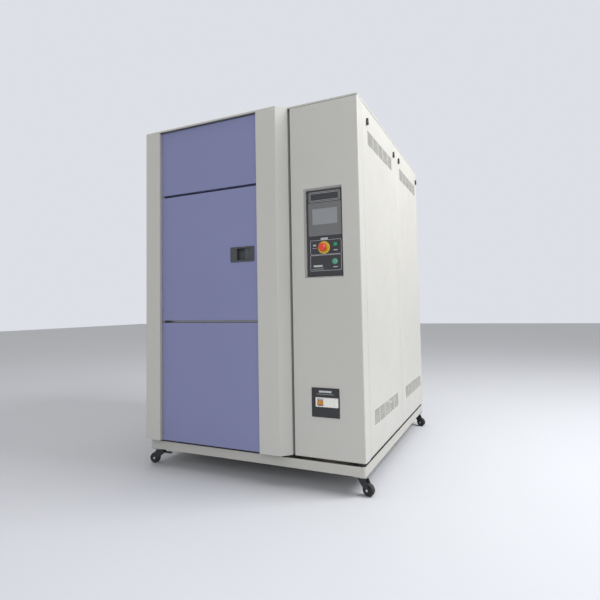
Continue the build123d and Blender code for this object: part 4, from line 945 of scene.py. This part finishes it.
class CHAMBER_OT_seal(bpy.types.Operator):
    """Makes the door seal: a bulb with two flanks, carried round a round-cornered path"""

    bl_idname = "chamber.seal"
    bl_label = "Door seal"

    def execute(self, context):
        low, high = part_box("test_door_gasket")
        half_x, half_z = (high[0] - low[0]) / 2, (high[2] - low[2]) / 2
        depth = high[1] - low[1]
        t = np.linspace(0, math.pi, 9)
        across = SEAL_WIDTH / 2 - SEAL_BULB * np.cos(t)
        bulb = np.stack([across, SEAL_BASE + (depth - SEAL_BASE) * np.sin(t)], axis=-1)
        far_flank = [(SEAL_WIDTH - inset, height) for inset, height in SEAL_FLANK[::-1]]
        profile = [*SEAL_FLANK, *bulb.tolist(), *far_flank]
        outlines = [
            rounded_outline(
                half_x - inset, half_z - inset, max(SEAL_WIDTH - inset, SEAL_CORNER), SEAL_STEPS
            )
            for inset, height in profile
        ]
        points = levelled(outlines, [height for inset, height in profile])
        faces = grid_faces(len(outlines), len(outlines[0]), closed_rows=True).tolist()
        origin = ((low[0] + high[0]) / 2, low[1], (low[2] + high[2]) / 2)
        make_piece(
            "door_seal_bulb", placed(points, origin, *BACK), faces, "silicone", "test_door",
            "silicone", ["test_door_gasket"],
        )
        return {"FINISHED"}


class CHAMBER_OT_shelf(bpy.types.Operator):
    """Makes the specimen shelf from welded round rods"""

    bl_idname = "chamber.shelf"
    bl_label = "Specimen shelf"

    def execute(self, context):
        low, high = (np.array(v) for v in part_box("specimen_shelf"))
        z = (low[2] + high[2]) / 2
        a, b = low + SHELF_RIM, high - SHELF_RIM
        middle = (a + b) / 2
        corners = rounded_outline((b[0] - a[0]) / 2, (b[1] - a[1]) / 2, SHELF_CORNER, 6)
        path = np.column_stack([corners + middle[:2], np.full(len(corners), z)])
        parts = [tube(path, SHELF_RIM, 12, closed=True)]
        for x in np.linspace(a[0], b[0], SHELF_RODS + 2)[1:-1]:
            line = [(x, y, z + SHELF_ROD_LIFT) for y in (a[1], middle[1], b[1])]
            parts.append(tube(line, SHELF_ROD, 8))
        for y in np.linspace(a[1], b[1], SHELF_BEARERS + 2)[1:-1]:
            line = [(x, y, z - SHELF_BEARER_DROP) for x in (a[0], middle[0], b[0])]
            parts.append(tube(line, SHELF_BEARER, 8))
        make_piece(
            "shelf_rods", *joined(parts), "bright_steel", "cabinet", "stainless",
            ["specimen_shelf"],
        )
        return {"FINISHED"}


class CHAMBER_OT_facings(bpy.types.Operator):
    """Makes the stainless sheets around the test opening and on the door's inner side"""

    bl_idname = "chamber.facings"
    bl_label = "Facings"

    def execute(self, context):
        low, high = (np.array(v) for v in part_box("test_liner"))
        middle, half = (low + high) / 2, (high - low) / 2
        hole = half + FACING_GAP
        origin = (middle[0], low[1] + FACING_BACK, middle[2])
        self.sheet(
            "opening_facing", FACING_HALF, (hole[0], hole[2]), FACING_SHEET, origin, FRONT,
            "cabinet",
        )
        low, high = (np.array(v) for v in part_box("test_door_core"))
        seal_low, seal_high = (np.array(v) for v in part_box("test_door_gasket"))
        half = (high - low) / 2 - DOOR_FACING_INSET
        hole = (seal_high - seal_low) / 2 + FACING_GAP
        origin = ((low[0] + high[0]) / 2, high[1] + DOOR_FACING_GAP, middle[2])
        self.sheet(
            "door_facing", (half[0], half[2]), (hole[0], hole[2]), DOOR_FACING_SHEET, origin, BACK,
            "test_door",
        )
        return {"FINISHED"}

    def sheet(self, name, outer, inner, thick, origin, axes, body):
        """A flat sheet with a window, from the half sizes of both."""
        outlines = [rounded_outline(*half, SHEET_CORNER) for half in (outer, inner)]
        points, faces = flat_frame(*outlines, thick)
        points = placed(points, origin, *axes)
        make_piece(name, points, faces, "stainless", body, "stainless", smooth=False)


class CHAMBER_OT_wiring(bpy.types.Operator):
    """Makes the wiring in the control column: slotted ducts and rows of wires"""

    bl_idname = "chamber.wiring"
    bl_label = "Wiring"

    def execute(self, context):
        low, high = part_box("switchgear")
        face, left, right = high[1], low[0], high[0]
        self.ducts(face, left, right)
        self.wires(face, left)
        return {"FINISHED"}

    def ducts(self, face, left, right):
        """A box along each duct, with a row of teeth on its upper and on its lower side."""
        ducts, teeth = [], []
        for z in DUCT_HEIGHTS:
            points, faces = slab((right - left) / 2, DUCT_HALF, DUCT_CORNER, DUCT_DEPTH, DUCT_EDGE)
            ducts.append((placed(points, ((left + right) / 2, face, z), *FRONT), faces))
            for x in np.arange(left + TOOTH_START, right - TOOTH_END, TOOTH_PITCH):
                for side in (-TOOTH_SIDE, TOOTH_SIDE):
                    points, faces = slab(*TOOTH)
                    place = (x, face - TOOTH_FRONT, z + side)
                    teeth.append((placed(points, place, *FRONT), faces))
        make_piece("wiring_ducts", *joined(ducts), "grey_plastic", "cabinet", "grey_plastic")
        make_piece(
            "wiring_duct_teeth", *joined(teeth), "grey_plastic", "cabinet", "grey_plastic",
            smooth=False,
        )

    def wires(self, face, left):
        """Rows of short wires that bend into the ducts, in three colours by turns."""
        wires = {"red_plastic": [], "black_plastic": [], "blue_paint": []}
        names = list(wires)
        for k in range(WIRE_COUNT):
            x = left + WIRE_START + WIRE_PITCH * k
            for n, (radius, points) in enumerate(WIRE_RUNS):
                path = bent([(x + shift, face - out, z) for shift, out, z in points], WIRE_BEND)
                wires[names[(k + n) % len(names)]].append(tube(path, radius, 8))
        for name, tubes in wires.items():
            slot = "grey_plastic" if name == "blue_paint" else name
            make_piece("wires_" + name, *joined(tubes), name, "cabinet", slot)


class CHAMBER_OT_stage(bpy.types.Operator):
    """Makes the floor, the light and the camera"""

    bl_idname = "chamber.stage"
    bl_label = "Stage"

    def execute(self, context):
        scene = context.scene
        scene.view_settings.view_transform = "Standard"
        self.floor(scene)
        self.world(scene)
        self.lamps(scene)
        self.camera(scene)
        return {"FINISHED"}

    def floor(self, scene):
        """A pale floor that takes the machine's shadow."""
        side = sizes().floor_size / 2
        mesh = bpy.data.meshes.new("floor")
        mesh.from_pydata(
            [(-side, -side, 0), (side, -side, 0), (side, side, 0), (-side, side, 0)],
            [],
            [(0, 1, 2, 3)],
        )
        material, tree, shader, coords = new_material("pale_floor")
        tinted(tree, shader, coords, srgb("#BABCC1"), scale=0.6, spread=0.01)
        set_shader(shader, {"Roughness": 0.85})
        mesh.materials.append(material)
        floor = bpy.data.objects.new("floor", mesh)
        scene.collection.objects.link(floor)

    def world(self, scene):
        """A world that lights the machine a little, and shows the camera a pale grey."""
        world = bpy.data.worlds.new("studio")
        world.use_nodes = True
        tree = world.node_tree
        tree.nodes.clear()
        output = add_node(tree, "ShaderNodeOutputWorld")
        path = add_node(tree, "ShaderNodeLightPath")
        plain = add_node(
            tree, "ShaderNodeBackground", {"Color": srgb("#FFFFFF"), "Strength": WORLD_STRENGTH}
        )
        shown = add_node(
            tree, "ShaderNodeBackground", {"Color": srgb("#DDE0E6"), "Strength": 1.0}
        )
        mix = add_node(
            tree,
            "ShaderNodeMixShader",
            {
                "Fac": path.outputs["Is Camera Ray"],
                1: plain.outputs["Background"],
                2: shown.outputs["Background"],
            },
        )
        tree.links.new(mix.outputs["Shader"], output.inputs["Surface"])
        scene.world = world

    def lamps(self, scene):
        """A strong soft lamp on the right, and weaker ones in front, left and above."""
        for name, place, target, size, power in LAMPS:
            lamp = bpy.data.lights.new(name, "AREA")
            lamp.shape = "SQUARE"
            lamp.size = size
            lamp.energy = power
            holder = bpy.data.objects.new(name, lamp)
            holder.location = place
            holder.rotation_euler = (
                (Vector(target) - Vector(place)).to_track_quat("-Z", "Y").to_euler()
            )
            scene.collection.objects.link(holder)

        sky = bpy.data.lights.new("sky", "SUN")
        sky.energy = SKY_STRENGTH
        sky.angle = math.radians(SKY_SPREAD)
        holder = bpy.data.objects.new("sky", sky)
        holder.location = (0.0, 0.0, SKY_HEIGHT)
        scene.collection.objects.link(holder)

    def camera(self, scene):
        """The camera at the photograph's place: a 28 mm lens, 0.85 m above the floor."""
        data = bpy.data.cameras.new("camera")
        data.sensor_width = SENSOR_WIDTH
        data.lens = FOCAL_LENGTH / IMAGE_SIZE * SENSOR_WIDTH
        data.shift_x = (IMAGE_SIZE / 2 - IMAGE_CENTRE[0]) / IMAGE_SIZE
        data.shift_y = (IMAGE_CENTRE[1] - IMAGE_SIZE / 2) / IMAGE_SIZE
        data.clip_end = CAMERA_REACH
        camera = bpy.data.objects.new("camera", data)
        azimuth, rise, roll = (math.radians(a) for a in CAMERA_ANGLES)
        forward = Vector(
            (
                math.sin(azimuth) * math.cos(rise),
                math.cos(azimuth) * math.cos(rise),
                math.sin(rise),
            )
        )
        side = Vector((math.cos(azimuth), -math.sin(azimuth), 0.0))
        above = side.cross(forward)
        right = side * math.cos(roll) + above * math.sin(roll)
        up = above * math.cos(roll) - side * math.sin(roll)
        turn = Matrix((right, up, -forward)).transposed()
        camera.matrix_world = Matrix.Translation(CAMERA_PLACE) @ turn.to_4x4()
        scene.collection.objects.link(camera)
        scene.camera = camera


class CHAMBER_PT_panel(bpy.types.Panel):
    """Lists the chamber's settings and steps in the sidebar"""

    bl_label = "Thermal Shock Chamber"
    bl_idname = "CHAMBER_PT_panel"
    bl_space_type = "VIEW_3D"
    bl_region_type = "UI"
    bl_category = "Chamber"

    def draw(self, context):
        layout = self.layout
        for group in (context.scene.chamber_sizes, context.scene.chamber_colours):
            for name in group.bl_rna.properties.keys():
                if name not in ("rna_type", "name"):
                    layout.prop(group, name)
        for operator in OPERATORS:
            layout.operator(operator.bl_idname)


OPERATORS = (
    CHAMBER_OT_finishes,
    CHAMBER_OT_controls,
    CHAMBER_OT_casters,
    CHAMBER_OT_seal,
    CHAMBER_OT_shelf,
    CHAMBER_OT_facings,
    CHAMBER_OT_wiring,
    CHAMBER_OT_stage,
)
CLASSES = (ChamberColours, ChamberSizes, *OPERATORS, CHAMBER_PT_panel)


def register():
    """Registers the classes and hangs the settings on the scene."""
    for cls in CLASSES:
        bpy.utils.register_class(cls)
    bpy.types.Scene.chamber_colours = PointerProperty(type=ChamberColours)
    bpy.types.Scene.chamber_sizes = PointerProperty(type=ChamberSizes)


def unregister():
    """Takes the settings and the classes away again."""
    del bpy.types.Scene.chamber_sizes
    del bpy.types.Scene.chamber_colours
    for cls in reversed(CLASSES):
        bpy.utils.unregister_class(cls)


def main():
    """Registers the add-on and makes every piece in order."""
    register()
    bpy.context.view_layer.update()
    for operator in OPERATORS:
        group, name = operator.bl_idname.split(".")
        getattr(getattr(bpy.ops, group), name)()


if __name__ == "__main__":
    main()
